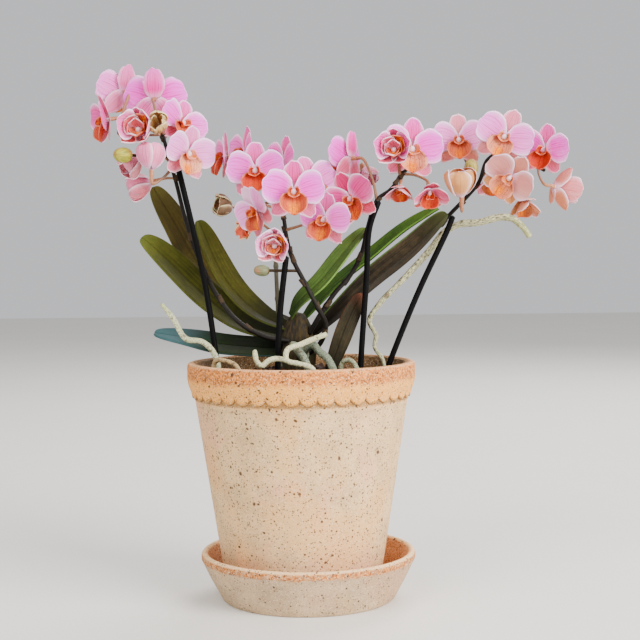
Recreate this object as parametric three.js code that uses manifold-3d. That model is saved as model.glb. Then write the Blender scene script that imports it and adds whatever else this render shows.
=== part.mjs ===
// Potted moth orchid: a clay pot on its saucer, bark, four staked flower stems, leaves, roots and blooms.
// Millimetres, +Z up, the origin at the middle of the saucer's flat underside.
// +X is to the right and -Y to the front as the plant is usually looked at.
import * as THREE from 'three';
import { mergeVertices } from 'three/addons/utils/BufferGeometryUtils.js';
import Module from 'manifold-3d';

// Driving dimensions of the saucer
const SAUCER_TOP = 29.3;
const SAUCER_RADIUS = 66.1;
const SAUCER_LIP = 4.2;
const SAUCER_BASE_RADIUS = 53.8;
const SAUCER_FLOOR = 5.0;
const SAUCER_FLOOR_RADIUS = 51.6;

// Driving dimensions of the pot, which stands a little left of the saucer's middle
const POT_X = -3.3;
const POT_BOTTOM = SAUCER_FLOOR + 0.3;
const POT_TOP = 145.7;
const POT_BASE_RADIUS = 47.2;
const POT_FLOOR = 7;
const POT_WALL = 5.6;
const DRAIN_RADIUS = 8;
const RIM_RADIUS = 70;
const RIM_MOUTH_RADIUS = 64;
const RIM_STRAIGHT = 10.8;
const BAND_BOTTOM = 124.3;
const BAND_BOTTOM_RADIUS = 66.6;
const WALL_TOP_RADIUS = 65.5;
const SCALLOPS = 42;
const SCALLOP_DEPTH = 3.4;
const ROUND_SIDES = 42;
const SCALLOP_SIDES = 3;
const BARK_SIDES = 24;
const SAUCER_SIDES = 36;

// Driving dimensions of what fills and stands in the pot
const FIT_GAP = 0.3;
const BARK_TOP = 133;
const BARK_MOUND = 7;
const CROWN_X = -5;
const STAKE_RADIUS = 1.8;
const STEM_RADIUS = 1.6;
const PEDICEL_RADIUS = 0.9;
const LEAF_THICKNESS = 1.5;
const TEPAL_THICKNESS = 0.8;
const SLIVER = 0.1;
const BLOOM_SLIVER = 0.3;

const COLOURS = {
  clay: 0xd8c2a2,
  bark: 0x4a3222,
  stake: 0x17141a,
  stem: 0x2b241f,
  dry: 0x9c9a86,
  crown: 0x5a4a2a,
  leaf: 0x5f7328,
  root: 0xbfc3a4,
  bloom: 0xe7a6cf,
  bud: 0xb7ab62,
};

const wasm = await Module();
wasm.setup();

// Closed solids and their joins

function solid(geometry) {
  const plain = new THREE.BufferGeometry();
  plain.setAttribute('position', geometry.getAttribute('position').clone());
  plain.setIndex(geometry.index.clone());
  const merged = mergeVertices(plain, 1e-4);
  const kept = [];
  const index = merged.index.array;
  for (let i = 0; i < index.length; i += 3) {
    const [a, b, c] = [index[i], index[i + 1], index[i + 2]];
    if (a !== b && b !== c && c !== a) kept.push(a, b, c);
  }
  return new wasm.Manifold(new wasm.Mesh({
    numProp: 3,
    vertProperties: new Float32Array(merged.getAttribute('position').array),
    triVerts: new Uint32Array(kept),
  }));
}

function union(solids) {
  return solids.reduce((joined, next) => joined.add(next));
}

function surface(body) {
  const { vertProperties, triVerts } = body.getMesh();
  const geometry = new THREE.BufferGeometry();
  geometry.setAttribute('position', new THREE.BufferAttribute(new Float32Array(vertProperties), 3));
  geometry.setIndex(new THREE.BufferAttribute(new Uint32Array(triVerts), 1));
  geometry.computeVertexNormals();
  return geometry;
}

// The largest part of a joined body, with its slivers gone
function whole(body, sliver) {
  const [largest] = body.decompose().sort((a, b) => b.volume() - a.volume());
  return largest.asOriginal().simplify(sliver);
}

function piece(name, body, colour, roughness, sliver = SLIVER) {
  const material = new THREE.MeshStandardMaterial({ color: colour, roughness, metalness: 0 });
  const mesh = new THREE.Mesh(surface(whole(body, sliver)), material);
  mesh.name = name;
  return mesh;
}

// A turned clay shape: the outline is radius and height, and closes on itself or on the axis
function turned(outline, sides) {
  const points = outline.map(([radius, height]) => new THREE.Vector2(radius, height));
  points.push(points[0].clone());
  const geometry = new THREE.LatheGeometry(points, sides);
  geometry.rotateX(Math.PI / 2);
  return geometry;
}

// A round stem or root along a curve: radius is a number or a function of the way along
function tube(points, radius, sides, steps) {
  const curve = new THREE.CatmullRomCurve3(points.map((p) => new THREE.Vector3(...p)));
  const frames = curve.computeFrenetFrames(steps, false);
  const geometry = new THREE.CylinderGeometry(1, 1, 1, sides, steps);
  const position = geometry.getAttribute('position');
  for (let i = 0; i < position.count; i += 1) {
    const u = 0.5 - position.getY(i);
    const row = Math.round(u * steps);
    const thick = typeof radius === 'function' ? radius(u) : radius;
    const spot = curve.getPointAt(u);
    spot.addScaledVector(frames.normals[row], thick * position.getX(i));
    spot.addScaledVector(frames.binormals[row], thick * position.getZ(i));
    position.setXYZ(i, spot.x, spot.y, spot.z);
  }
  return geometry;
}

// A thin blade of even thickness. place(u, v) is its middle surface, u from base to tip
// and v from edge to edge, and both faces are split into triangles alike.
const BLADE_PROBE = 0.02;

function blade(place, thickness, rows, columns) {
  const points = [];
  for (const face of [1, -1]) {
    for (let row = 0; row <= rows; row += 1) {
      for (let column = 0; column <= columns; column += 1) {
        const u = row / rows;
        const v = (2 * column) / columns - 1;
        const along = place(Math.min(u + BLADE_PROBE, 1), v).sub(place(Math.max(u - BLADE_PROBE, 0), v));
        const across = place(u, v + BLADE_PROBE).sub(place(u, v - BLADE_PROBE));
        const normal = across.cross(along).normalize();
        const spot = place(u, v).addScaledVector(normal, (face * thickness) / 2);
        points.push(spot.x, spot.y, spot.z);
      }
    }
  }
  const wide = columns + 1;
  const back = wide * (rows + 1);
  const index = [];
  for (let row = 0; row < rows; row += 1) {
    for (let column = 0; column < columns; column += 1) {
      const a = row * wide + column;
      const [b, c, d] = [a + 1, a + wide + 1, a + wide];
      index.push(a, b, c, a, c, d);
      index.push(back + a, back + c, back + b, back + a, back + d, back + c);
    }
  }
  const rim = [];
  for (let column = 0; column < columns; column += 1) rim.push(column);
  for (let row = 0; row < rows; row += 1) rim.push(row * wide + columns);
  for (let column = columns; column > 0; column -= 1) rim.push(rows * wide + column);
  for (let row = rows; row > 0; row -= 1) rim.push(row * wide);
  rim.forEach((here, i) => {
    const next = rim[(i + 1) % rim.length];
    index.push(here, back + here, back + next, here, back + next, next);
  });
  const geometry = new THREE.BufferGeometry();
  geometry.setAttribute('position', new THREE.BufferAttribute(new Float32Array(points), 3));
  geometry.setIndex(index);
  return geometry;
}

// Width of a leaf or tepal along its length, 1 at the widest: rise shapes the base, fall the tip,
// and neck and nose are the least width at the base and at the tip
function spread(u, rise, fall, neck, nose) {
  const widest = rise / (rise + fall);
  const peak = widest ** rise * (1 - widest) ** fall;
  const part = (u ** rise * (1 - u) ** fall) / peak;
  return Math.max(part, neck + (nose - neck) * u);
}

// Saucer: a turned dish with a rounded lip
function makeSaucer() {
  const inner = SAUCER_RADIUS - SAUCER_LIP;
  const outline = [
    [0, 0], [SAUCER_BASE_RADIUS - 1, 0], [SAUCER_BASE_RADIUS, 1],
    [SAUCER_RADIUS - 0.3, SAUCER_TOP - 5], [SAUCER_RADIUS, SAUCER_TOP - 1.4],
    [SAUCER_RADIUS - 1.2, SAUCER_TOP], [inner + 0.9, SAUCER_TOP], [inner, SAUCER_TOP - 1.2],
    [SAUCER_FLOOR_RADIUS, SAUCER_FLOOR + 2], [SAUCER_FLOOR_RADIUS - 1.2, SAUCER_FLOOR],
    [0, SAUCER_FLOOR],
  ];
  return piece('saucer', solid(turned(outline, SAUCER_SIDES)), COLOURS.clay, 0.9);
}

// Pot: a turned wall with a drain hole, and a rolled band round the rim with a scalloped edge
function wallRadius(height) {
  const slope = (WALL_TOP_RADIUS - POT_BASE_RADIUS) / (BAND_BOTTOM - POT_BOTTOM);
  return POT_BASE_RADIUS + slope * (height - POT_BOTTOM);
}

function makePot() {
  const floor = POT_BOTTOM + POT_FLOOR;
  const neck = BAND_BOTTOM - 6;
  const foot = POT_BOTTOM + 1.2;
  const wall = solid(turned([
    [DRAIN_RADIUS, POT_BOTTOM], [POT_BASE_RADIUS - 1, POT_BOTTOM], [wallRadius(foot), foot],
    [wallRadius(BAND_BOTTOM + 6), BAND_BOTTOM + 6], [RIM_RADIUS - 2.4, POT_TOP - RIM_STRAIGHT],
    [RIM_RADIUS - 2.4, POT_TOP], [RIM_MOUTH_RADIUS, POT_TOP],
    [wallRadius(neck) - POT_WALL, neck], [wallRadius(floor) - POT_WALL, floor], [DRAIN_RADIUS, floor],
  ], ROUND_SIDES));
  const band = turned([
    [RIM_RADIUS - 4, POT_TOP], [BAND_BOTTOM_RADIUS - 2.4, BAND_BOTTOM], [BAND_BOTTOM_RADIUS, BAND_BOTTOM],
    [RIM_RADIUS, POT_TOP - RIM_STRAIGHT], [RIM_RADIUS, POT_TOP],
  ], SCALLOPS * SCALLOP_SIDES);
  const position = band.getAttribute('position');
  for (let i = 0; i < position.count; i += 1) {
    if (position.getZ(i) > BAND_BOTTOM + 0.01) continue;
    const turn = Math.atan2(position.getY(i), position.getX(i)) + Math.PI / 2;
    const cusp = 1 - Math.abs(Math.sin((turn * SCALLOPS) / 2));
    position.setZ(i, BAND_BOTTOM + SCALLOP_DEPTH * cusp);
  }
  const pot = piece('pot', wall.add(solid(band)), COLOURS.clay, 0.9);
  pot.position.x = POT_X;
  return pot;
}

// Bark: it fills the pot from the floor up, with a chunky top that mounds towards the plant
function barkHeight(x, y) {
  const away = Math.hypot(x, y);
  const along = Math.sin(x * 0.62 + 1.7 * Math.sin(y * 0.31));
  const across = Math.sin(y * 0.57 + 1.3 * Math.sin(x * 0.4));
  return BARK_TOP + BARK_MOUND * Math.exp(-((away / 30) ** 2)) + 1.8 * along * across;
}

function makeBark(standing) {
  const floor = POT_BOTTOM + POT_FLOOR + FIT_GAP;
  const neck = BAND_BOTTOM - 6;
  const inside = wallRadius(neck) - POT_WALL;
  const inset = inside + ((RIM_MOUTH_RADIUS - inside) * (BARK_TOP - neck)) / (POT_TOP - neck);
  const outline = [
    [0, floor], [wallRadius(floor) - POT_WALL - 2 * FIT_GAP, floor], [inside - FIT_GAP, neck],
    [inset - FIT_GAP, BARK_TOP],
  ];
  const rings = 4;
  for (let ring = rings - 1; ring > 0; ring -= 1) outline.push([(inset * ring) / rings, BARK_TOP + 1]);
  outline.push([0, BARK_TOP + 1]);
  const geometry = turned(outline, BARK_SIDES);
  const position = geometry.getAttribute('position');
  for (let i = 0; i < position.count; i += 1) {
    if (position.getZ(i) < BARK_TOP + 0.5) continue;
    position.setZ(i, barkHeight(position.getX(i), position.getY(i)));
  }
  geometry.translate(POT_X, 0, 0);
  let body = solid(geometry);
  for (const hole of standing) body = body.subtract(hole);
  return piece('bark_mix', body, COLOURS.bark, 0.95);
}

// Stakes, flower stems and roots stand in plain holes in the bark
const holes = [];

function standing(points, radius, sides, steps) {
  const wider = typeof radius === 'function' ? (u) => radius(u) + FIT_GAP + 0.1 : radius + FIT_GAP + 0.1;
  holes.push(solid(tube(points, wider, sides, steps)));
  return solid(tube(points, radius, sides, steps));
}

const STAKES = {
  stake_a: [[-49, -4, 85], [-55, -4, 146], [-61, -5, 191], [-68, -6, 226], [-77, -6, 266]],
  stake_b: [[-18, -26, 82], [-17, -26, 144], [-15, -27, 178], [-11, -28, 211]],
  stake_c: [[30, -9, 84], [33, -10, 143], [37, -12, 197], [39, -13, 227], [45, -14, 244]],
  stake_d: [[30, 5, 86], [51, 4, 143], [70, 2, 189], [88, 0, 227], [91, 0, 235]],
};

// Crown: the short leafy base that the leaves and flower stems grow from
function makeCrown() {
  const profile = [[0, 122], [5, 122], [7.5, 134], [9.5, 144], [10.2, 152], [8.6, 156], [9.4, 160],
    [7.4, 168],
    [3.5, 175], [0, 176]];
  const geometry = turned(profile, 14);
  geometry.scale(1.05, 0.75, 1);
  geometry.translate(CROWN_X, 0, 0);
  return geometry;
}

// A copy of a shape that is wider by a share of itself round its own upright axis, and lifted
function widened(geometry, share, lift) {
  const wider = geometry.clone();
  wider.translate(-CROWN_X, 0, lift);
  wider.scale(1 + share, 1 + 1.4 * share, 1);
  wider.translate(CROWN_X, 0, 0);
  return wider;
}

// Leaves: spine from base to tip, width, fold of the halves, and where the upper face looks
const LEAVES = {
  leaf_left_low: { spine: [[-6, 4, 152], [-28, 9, 153], [-52, 13, 155], [-73, 14, 159], [-95, 12, 163]],
    width: 28, fold: 0.1, face: [[0.1, -0.5, 0.85], [0.1, -0.3, 0.95]] },
  leaf_left_long: { spine: [[-9, 4, 159], [-38, 9, 167], [-55, 16, 178], [-69, 19, 190],
    [-81, 20, 202], [-93, 20, 214], [-103, 20, 223]],
    width: 26, fold: 0.25, face: [[0.2, -0.45, 0.85], [0.5, -0.7, 0.6]] },
  leaf_left_mid: { spine: [[-9, 2, 165], [-26, 6, 172], [-39, 10, 182], [-50, 12, 195],
    [-57, 12, 208], [-63, 12, 223], [-67, 12, 233]],
    width: 22, fold: 0.3, face: [[0.2, -0.45, 0.85], [0.7, -0.6, 0.45]] },
  leaf_left_back: { spine: [[-5, 9, 165], [-13, 26, 167], [-29, 38, 171], [-44, 43, 179],
    [-60, 44, 193], [-73, 42, 210], [-84, 38, 231], [-97, 32, 255]],
    width: 25, fold: 0.2, face: [[0.3, -0.4, 0.85], [0.5, -0.8, 0.4]] },
  leaf_right_front: { spine: [[-9, -4, 173], [-4, -9, 182], [9, -12, 194], [24, -6, 212], [37, 3, 227]],
    width: 16, fold: 0.25, face: [[-0.5, -0.6, 0.6], [-0.6, -0.6, 0.5]] },
  leaf_right_mid: { spine: [[-1, 5, 171], [18, 14, 190], [40, 16, 207], [62, 16, 225], [83, 13, 239]],
    width: 24, fold: 0.3, face: [[-0.5, 0.1, 0.8], [-0.55, 0.15, 0.8]] },
  leaf_right_back: { spine: [[2, 1, 160], [24, 7, 179], [46, 10, 198], [68, 11, 216], [88, 11, 236]],
    width: 24, fold: 0.2, face: [[-0.4, 0.5, 0.75], [-0.5, 0.6, 0.6]] },
  leaf_right_small: { spine: [[13, -13, 138], [21, -12, 160], [27, -8, 174], [34, -4, 187]],
    width: 12, fold: 0.3, face: [[0.4, -0.9, 0.1], [0.4, -0.9, 0.2]] },
};

function leafPlace({ spine, width, fold, face }) {
  const curve = new THREE.CatmullRomCurve3(spine.map((p) => new THREE.Vector3(...p)));
  const [faceBase, faceTip] = face.map((f) => new THREE.Vector3(...f));
  return (row, v) => {
    const u = Math.sin((row * Math.PI) / 2);
    const tangent = curve.getTangentAt(u);
    const up = faceBase.clone().lerp(faceTip, u);
    const side = tangent.clone().cross(up).normalize();
    const normal = side.clone().cross(tangent);
    const half = (width / 2) * spread(u, 0.42, 0.36, 0.42, 0.3);
    return curve.getPointAt(u).addScaledVector(side, half * v)
      .addScaledVector(normal, fold * half * Math.hypot(v, 0.15));
  };
}

// Roots: silvery aerial roots and the ones that loop over the bark. A forked root has two routes.
const ROOTS = {
  root_left_air: { routes: [[[-52, -12, 118], [-53, -11, 138], [-56, -12, 152], [-63, -12, 159],
    [-73, -12, 161],
    [-80, -14, 173], [-87, -14, 182]]], thick: [2, 1.7], steps: 10 },
  root_left_soil: { routes: [[[-55, -26, 122], [-54, -29, 148], [-48, -34, 149], [-40, -38, 145],
    [-36, -40, 122]]], thick: [1.7, 1.3], steps: 8 },
  root_loop: { routes: [[[12, -20, 163], [5, -26, 161], [-3, -31, 158], [-11, -35, 155],
    [-11, -38, 149],
    [-4, -39, 147], [4, -40, 144], [9, -40, 122]],
  [[-11, -38, 149], [-17, -36, 150], [-22, -37, 149], [-26, -38, 146], [-29, -38, 149], [-30, -38, 155]]],
  thick: [1.7, 1.6], steps: 10 },
  root_thick: { routes: [[[-1, -7, 148], [-1, -12, 152], [4, -18, 157], [8, -23, 153], [13, -28, 149],
    [17, -32, 140], [18, -33, 120]],
  [[-1, -7, 148], [-1, -12, 152], [-8, -19, 157], [-5, -24, 154], [-1, -28, 149], [2, -31, 140],
    [3, -32, 120]]], thick: [2.4, 2.3], steps: 8 },
  root_right_soil: { routes: [[[20, -24, 126], [22, -27, 147], [27, -30, 148], [31, -34, 141],
    [32, -35, 120]]], thick: [1.5, 1.3], steps: 7 },
  root_right_long: { routes: [[[49, -6, 122], [47, -5, 146], [42, -1, 154], [43, 0, 161], [39, 2, 170],
    [46, 5, 181], [61, 7, 196], [77, 8, 213], [86, 8, 224], [95, 6, 229], [107, 4, 230], [120, 2, 233],
    [127, 0, 232], [133, -2, 227], [137, -4, 221]]], thick: [0.9, 2.2], steps: 22 },
};
const ROOT_SIDES = 6;
const ROOT_TIP = 0.1;
const ROOT_TIP_NARROWS = 0.45;

// Thickness of a root along its route, with its last tenth drawn in to a blunt tip
function rootRadius([start, end], u) {
  const trunk = start + (end - start) * Math.min(1, 1.6 * u);
  return trunk - ROOT_TIP_NARROWS * Math.max(0, u - 1 + ROOT_TIP) / ROOT_TIP;
}

// Flower stems: each rises from the crown, joins its stake and carries its blooms on short stalks
const STEMS = {
  stem_a: [[-8, -3, 158], [-26, -10, 162], [-41, -11, 171], [-53, -6, 185], [-62, 1, 201], [-68, 1, 216],
    [-74, 0, 236], [-78, -2, 254], [-82, -4, 270], [-86, -5, 285], [-90, -3, 299]],
  stem_b: [[1, -3, 150], [9, -11, 158], [12, -17, 169], [7, -22, 180], [0, -24, 194], [-8, -22, 210],
    [-11, -21, 222], [-13, -18, 235], [-18, -12, 247], [-26, -6, 258]],
  stem_c: [[2, -4, 163], [9, -8, 175], [18, -8, 188], [27, -7, 198], [34, -7, 211], [38, -8, 227],
    [44, -9, 244], [52, -9, 250], [59, -6, 259], [67, 2, 267]],
  stem_d: [[-2, 4, 160], [14, 20, 176], [36, 28, 192], [58, 28, 207], [78, 24, 222], [92, 18, 237],
    [101, 6, 247], [107, 0, 255], [112, 0, 268], [123, 4, 273], [138, 11, 268], [149, 12, 262]],
};

// Blooms: label, place of the middle, where it faces (turn, nod, lean in degrees), size, how far the
// sepals and petals stand open from straight ahead and how much they close again to a cup, how far up
// its stem its stalk leaves, and how far the middle of the stalk is bent aside. The label starts with
// the letter of its stem.
function flower(label, at, face, size, open, from, bend = [0, 0, 0]) {
  return { name: `bloom_${label}`, letter: label[0], at, face, size, open, from, bend };
}

const BLOOMS = [
  flower('a1', [-93, 17, 309], [180, -8, 0], 1.12, [96, 88], 0.98),
  flower('a2', [-114, 29, 315], [-150, -10, -6], 1, [95, 88], 0.96, [-17, 4, -16]),
  flower('a3', [-120, 0, 295], [-68, 8, 0], 0.95, [80, 72], 0.94),
  flower('a4', [-97, -25, 286], [-14, -12, 0], 0.95, [80, 74, 0.9], 0.92),
  flower('a6', [-76, 9, 293], [38, -14, 24], 0.95, [88, 82], 0.9),
  flower('a7', [-70, -16, 273], [32, 8, 12], 0.95, [86, 80], 0.86),
  flower('a10', [-101, -9, 271], [-50, 40, 0], 0.9, [70, 62, 1.2], 0.82),
  flower('a8', [-90, -29, 263], [4, -100, 0], 1.05, [70, 62, 1.2], 0.8),
  flower('a11', [-96, 8, 257], [-80, 14, 0], 1, [70, 62, 1.2], 0.76),
  flower('b0', [-48, -1, 272], [-76, 0, 0], 0.9, [90, 84], 0.98, [0, -7, -5]),
  flower('b1', [-37, 13, 275], [-62, -8, 0], 0.95, [90, 84], 0.96),
  flower('b2', [-29, -18, 262], [-6, 2, -2], 1, [92, 90], 0.94),
  flower('b3', [-13, 4, 269], [-55, -8, 6], 0.9, [90, 86], 0.86, [8, 4, -6]),
  flower('b4', [-6, -48, 248], [3, 2, 1], 1.02, [92, 90], 0.78),
  flower('b5', [3, -10, 254], [20, -4, -14], 1, [90, 88], 0.82),
  flower('b6', [12, -40, 232], [-22, 8, 10], 0.92, [94, 96], 0.7),
  flower('b7', [-28, -36, 238], [-50, 14, -30], 0.92, [86, 82], 0.76),
  flower('b9', [-17, -44, 217], [-8, 6, 8], 0.88, [76, 70, 0.8], 0.66),
  flower('c1', [28, 2, 270], [-100, -4, 0], 1, [90, 84], 0.72),
  flower('c2', [28, -20, 245], [-24, 10, -24], 1, [84, 80], 0.66),
  flower('c3', [38, 20, 264], [24, 40, 0], 0.75, [70, 62, 1.1], 0.66, [0, 6, -8]),
  flower('c4', [54, -22, 273], [-12, -10, 0], 0.9, [80, 74, 0.8], 0.88),
  flower('c5', [65, -6, 275], [10, 2, 6], 1.1, [92, 90], 0.97),
  flower('c6', [75, -16, 249], [10, 50, 0], 0.75, [70, 60], 0.9),
  flower('c7', [58, -8, 252], [-20, 66, 0], 0.66, [62, 52], 0.84),
  flower('d1', [95, 6, 281], [-4, -4, -2], 0.95, [90, 88], 0.72),
  flower('d2', [121, -12, 281], [-10, -2, 24], 1, [92, 90], 0.84),
  flower('d3', [147, 0, 274], [-28, 2, 10], 0.92, [90, 90], 0.98),
  flower('d4', [122, -30, 256], [-24, 18, 45], 0.95, [80, 76], 0.82),
  flower('d6', [94, -20, 246], [-12, -76, 0], 1.08, [70, 62, 1.1], 0.64),
  flower('d7', [135, 6, 244], [20, 60, 0], 0.75, [60, 44], 0.88),
  flower('d8', [153, -4, 251], [120, 8, -20], 0.9, [66, 58], 0.98),
  flower('d9', [114, -6, 258], [-20, 56, 0], 0.8, [50, 40], 0.7),
];

// Two withered blooms and a small one, which are fused to their stems
const FUSED_BLOOMS = [
  flower('a5', [-86, -14, 288], [-10, -24, 0], 0.72, [66, 58, 1], 0.95),
  flower('b8', [-33, -13, 229], [-56, 24, -40], 0.55, [50, 46], 0.6),
  flower('b10', [-45, -2, 241], [-58, -8, 0], 0.72, [70, 60, 1], 0.86),
];

// The tepals of one bloom before it is scaled: three sepals behind, two broad petals, one lip
const SEPAL = { length: 16, width: 12.4, rise: 0.5, fall: 0.46, cup: 0.1, curl: 0.15, back: 1.3 };
const LATERAL = { length: 16.5, width: 11.6, rise: 0.46, fall: 0.52, cup: 0.1, curl: 0.2, back: 1.3 };
const PETAL = { length: 16.6, width: 19.5, rise: 0.62, fall: 0.36, cup: 0.05, curl: 0.2, back: -0.6 };
const LIP = { length: 13, width: 14, rise: 0.22, fall: 0.34, cup: 0.45, curl: -0.6, back: -1.6 };
const LIP_OPEN = 56;
const LIP_SHOWS = 45;
const LIP_DRAWN_IN = 0.7;
const HALF_OPEN = 70;
const CLOSING_ROLLS = 0.4;
const COLUMN_LENGTH = 8;
const COLUMN_BACK = 4.6;
const TEPAL_START = 0.4;
const TEPAL_NECK = 0.12;
const TEPAL_NOSE = 0.34;

// Middle surface of a tepal whose bloom faces -Y with its top towards +Z. The less it is open, the
// narrower and the more rolled it is.
function tepalPlace({ length, width, rise, fall, cup, curl, back }, turn, open, closing, scale) {
  const angle = THREE.MathUtils.degToRad(open);
  const around = THREE.MathUtils.degToRad(turn);
  const shut = 1 - Math.sin(angle);
  const bow = curl + closing;
  return (row, v) => {
    const u = Math.sin((row * Math.PI) / 2);
    const lean = angle - bow * u;
    const out = TEPAL_START + (length * (Math.cos(lean) - Math.cos(angle))) / bow;
    const ahead = (length * (Math.sin(angle) - Math.sin(lean))) / bow - back * (1 - 0.6 * shut);
    const half = (width / 2) * (1 - 0.5 * shut) * spread(u, rise, fall, TEPAL_NECK, TEPAL_NOSE);
    const lift = (cup + 1.2 * shut + CLOSING_ROLLS * closing) * half * v * v;
    const swell = 0.05 * length * (1 - v * v) * u ** 3;
    const across = half * v;
    const radial = out - Math.cos(lean) * lift + swell * Math.sin(lean);
    const forward = ahead + Math.sin(lean) * lift + swell * Math.cos(lean);
    return new THREE.Vector3(
      across * Math.cos(around) + radial * Math.sin(around),
      -forward,
      radial * Math.cos(around) - across * Math.sin(around),
    ).multiplyScalar(scale);
  };
}

// A closed bloom: its tepals lap over each other to a rounded pouch
const POUCH_CLOSING = 1;
const POUCH = [[0, -1.4], [4.6, -0.4], [7.6, 3.4], [8.8, 8], [7.4, 12], [4, 14.2], [0, 14.6]];
const POUCH_SIDES = 9;

function bloomSolid({ size, open }) {
  const [sepalOpen, petalOpen, closing = 0] = open;
  const rows = sepalOpen < HALF_OPEN ? 2 : 3;
  const tepal = (kind, turn, angle, columns, bow = closing) => solid(
    blade(tepalPlace(kind, turn, angle, bow, size), TEPAL_THICKNESS, kind === LIP ? 2 : rows, columns));
  const column = new THREE.CylinderGeometry(1.7 * size, 1.3 * size, COLUMN_LENGTH * size, 4, 1);
  column.rotateX(Math.PI);
  column.translate(0, (COLUMN_BACK - COLUMN_LENGTH / 2) * size, 0);
  if (closing >= POUCH_CLOSING) {
    const pouch = turned(POUCH.map(([radius, ahead]) => [radius * size, ahead * size]), POUCH_SIDES);
    pouch.rotateX(Math.PI / 2);
    return union([solid(column), solid(pouch)]);
  }
  const parts = [
    solid(column),
    tepal(SEPAL, 0, sepalOpen, 1),
    tepal(LATERAL, 140, sepalOpen, 1),
    tepal(LATERAL, -140, sepalOpen, 1),
    tepal(PETAL, 76, petalOpen, 2),
    tepal(PETAL, -76, petalOpen, 2),
  ];
  if (sepalOpen > LIP_SHOWS) {
    const angle = Math.min(LIP_OPEN, sepalOpen) * (closing > 0 ? LIP_DRAWN_IN : 1);
    parts.push(tepal(LIP, 180, angle, sepalOpen > LIP_OPEN ? 4 : 2, 0));
  }
  return union(parts);
}

function pose(object, { at, face }) {
  const [yaw, pitch, roll] = face.map(THREE.MathUtils.degToRad);
  object.position.set(...at);
  object.rotation.set(pitch, roll, yaw, 'ZXY');
  object.updateMatrix();
  return object;
}

// The solid of a bloom in its place, for one that is fused to its stem
function placedBloom(bloom) {
  return bloomSolid(bloom).transform(pose(new THREE.Object3D(), bloom).matrix.elements);
}

// Buds are ovoids that point along their stalks
const BUDS = [
  { at: [-107, -29, 271], radius: 4.8, long: 1.2, letter: 'a', from: 0.84 },
  { at: [-26, -22, 202], radius: 3.6, long: 1.3, letter: 'b', from: 0.5 },
  { at: [101, -10, 263], radius: 4.5, long: 1.2, letter: 'd', from: 0.7 },
];
const BUD_SIDES = 7;
const BUD_ROWS = 5;

function budSolid({ at, radius, long }, start) {
  const ahead = new THREE.Vector3(...at).sub(start).normalize();
  const geometry = new THREE.SphereGeometry(radius, BUD_SIDES, BUD_ROWS);
  geometry.scale(1, long, 1);
  geometry.applyQuaternion(new THREE.Quaternion().setFromUnitVectors(new THREE.Vector3(0, 1, 0), ahead));
  geometry.translate(...at);
  return solid(geometry);
}

// A stalk from the stem to the back of its bloom. It stops a fit gap short of the bloom, or runs a
// little into one that is fused to it.
const STALK_ARRIVES = 4;
const STALK_SINKS = 1;

function stalk(stemCurve, bloom, fused) {
  const { position, rotation } = pose(new THREE.Object3D(), bloom);
  const backward = new THREE.Vector3(0, 1, 0).applyEuler(rotation);
  const reach = COLUMN_BACK * bloom.size + (fused ? -STALK_SINKS : FIT_GAP);
  const end = position.clone().addScaledVector(backward, reach);
  const near = end.clone().addScaledVector(backward, STALK_ARRIVES);
  const start = stemCurve.getPointAt(bloom.from);
  const middle = start.clone().lerp(near, 0.5).addScaledVector(backward, STALK_ARRIVES / 2);
  middle.add(new THREE.Vector3(...bloom.bend));
  const points = [start, middle, near, end].map((p) => p.toArray());
  return solid(tube(points, PEDICEL_RADIUS, 3, 2));
}

function makeStem(name, points) {
  const letter = name.at(-1);
  const mine = (bloom) => bloom.letter === letter;
  const curve = new THREE.CatmullRomCurve3(points.map((p) => new THREE.Vector3(...p)));
  const solids = [solid(tube(points, (u) => STEM_RADIUS * (1 - 0.3 * u), 5, 2 * points.length))];
  for (const bloom of BLOOMS.filter(mine)) solids.push(stalk(curve, bloom, false));
  for (const bloom of FUSED_BLOOMS.filter(mine)) solids.push(stalk(curve, bloom, true), placedBloom(bloom));
  for (const bud of BUDS.filter(mine)) {
    const start = curve.getPointAt(bud.from);
    const middle = start.clone().lerp(new THREE.Vector3(...bud.at), 0.5);
    solids.push(solid(tube([start.toArray(), middle.toArray(), bud.at], PEDICEL_RADIUS, 3, 2)));
    solids.push(budSolid(bud, start));
  }
  return piece(name, union(solids).subtract(crownClear), COLOURS.stem, 0.6, BLOOM_SLIVER);
}

const orchid = new THREE.Group();
orchid.add(makeSaucer());
orchid.add(makePot());

for (const [name, points] of Object.entries(STAKES)) {
  orchid.add(piece(name, standing(points, STAKE_RADIUS, 7, points.length - 1), COLOURS.stake, 0.4));
}
const drySpike = [[-17, 51, 110], [-18, 51, 150], [-19, 50, 180], [-20, 50, 211]];
orchid.add(piece('dry_spike', standing(drySpike, 1.6, 6, 3), COLOURS.dry, 0.8));

const crownShape = makeCrown();
const crownClear = solid(widened(crownShape, 0.04, 0.2));
holes.push(solid(widened(crownShape, 0.05, -0.4)));
orchid.add(piece('crown', solid(crownShape), COLOURS.crown, 0.8));

for (const [name, leaf] of Object.entries(LEAVES)) {
  let body = solid(blade(leafPlace(leaf), LEAF_THICKNESS, 8, 2));
  body = body.subtract(crownClear);
  orchid.add(piece(name, body, COLOURS.leaf, 0.45));
}
for (const [name, { routes, thick, steps }] of Object.entries(ROOTS)) {
  const forks = routes.map((route) => standing(route, (u) => rootRadius(thick, u), ROOT_SIDES, steps));
  orchid.add(piece(name, union(forks).subtract(crownClear), COLOURS.root, 0.8));
}

for (const bloom of BLOOMS) {
  orchid.add(pose(piece(bloom.name, bloomSolid(bloom), COLOURS.bloom, 0.55, BLOOM_SLIVER), bloom));
}
for (const [name, points] of Object.entries(STEMS)) orchid.add(makeStem(name, points));
orchid.add(makeBark(holes));

export default orchid;
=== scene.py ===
# Potted moth orchid: clay pot and saucer, bark, four staked flower stems, leaves, roots and blooms.
import random
from collections import namedtuple
from math import atan2, cos, exp, hypot, pi, radians, sin, sqrt

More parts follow.
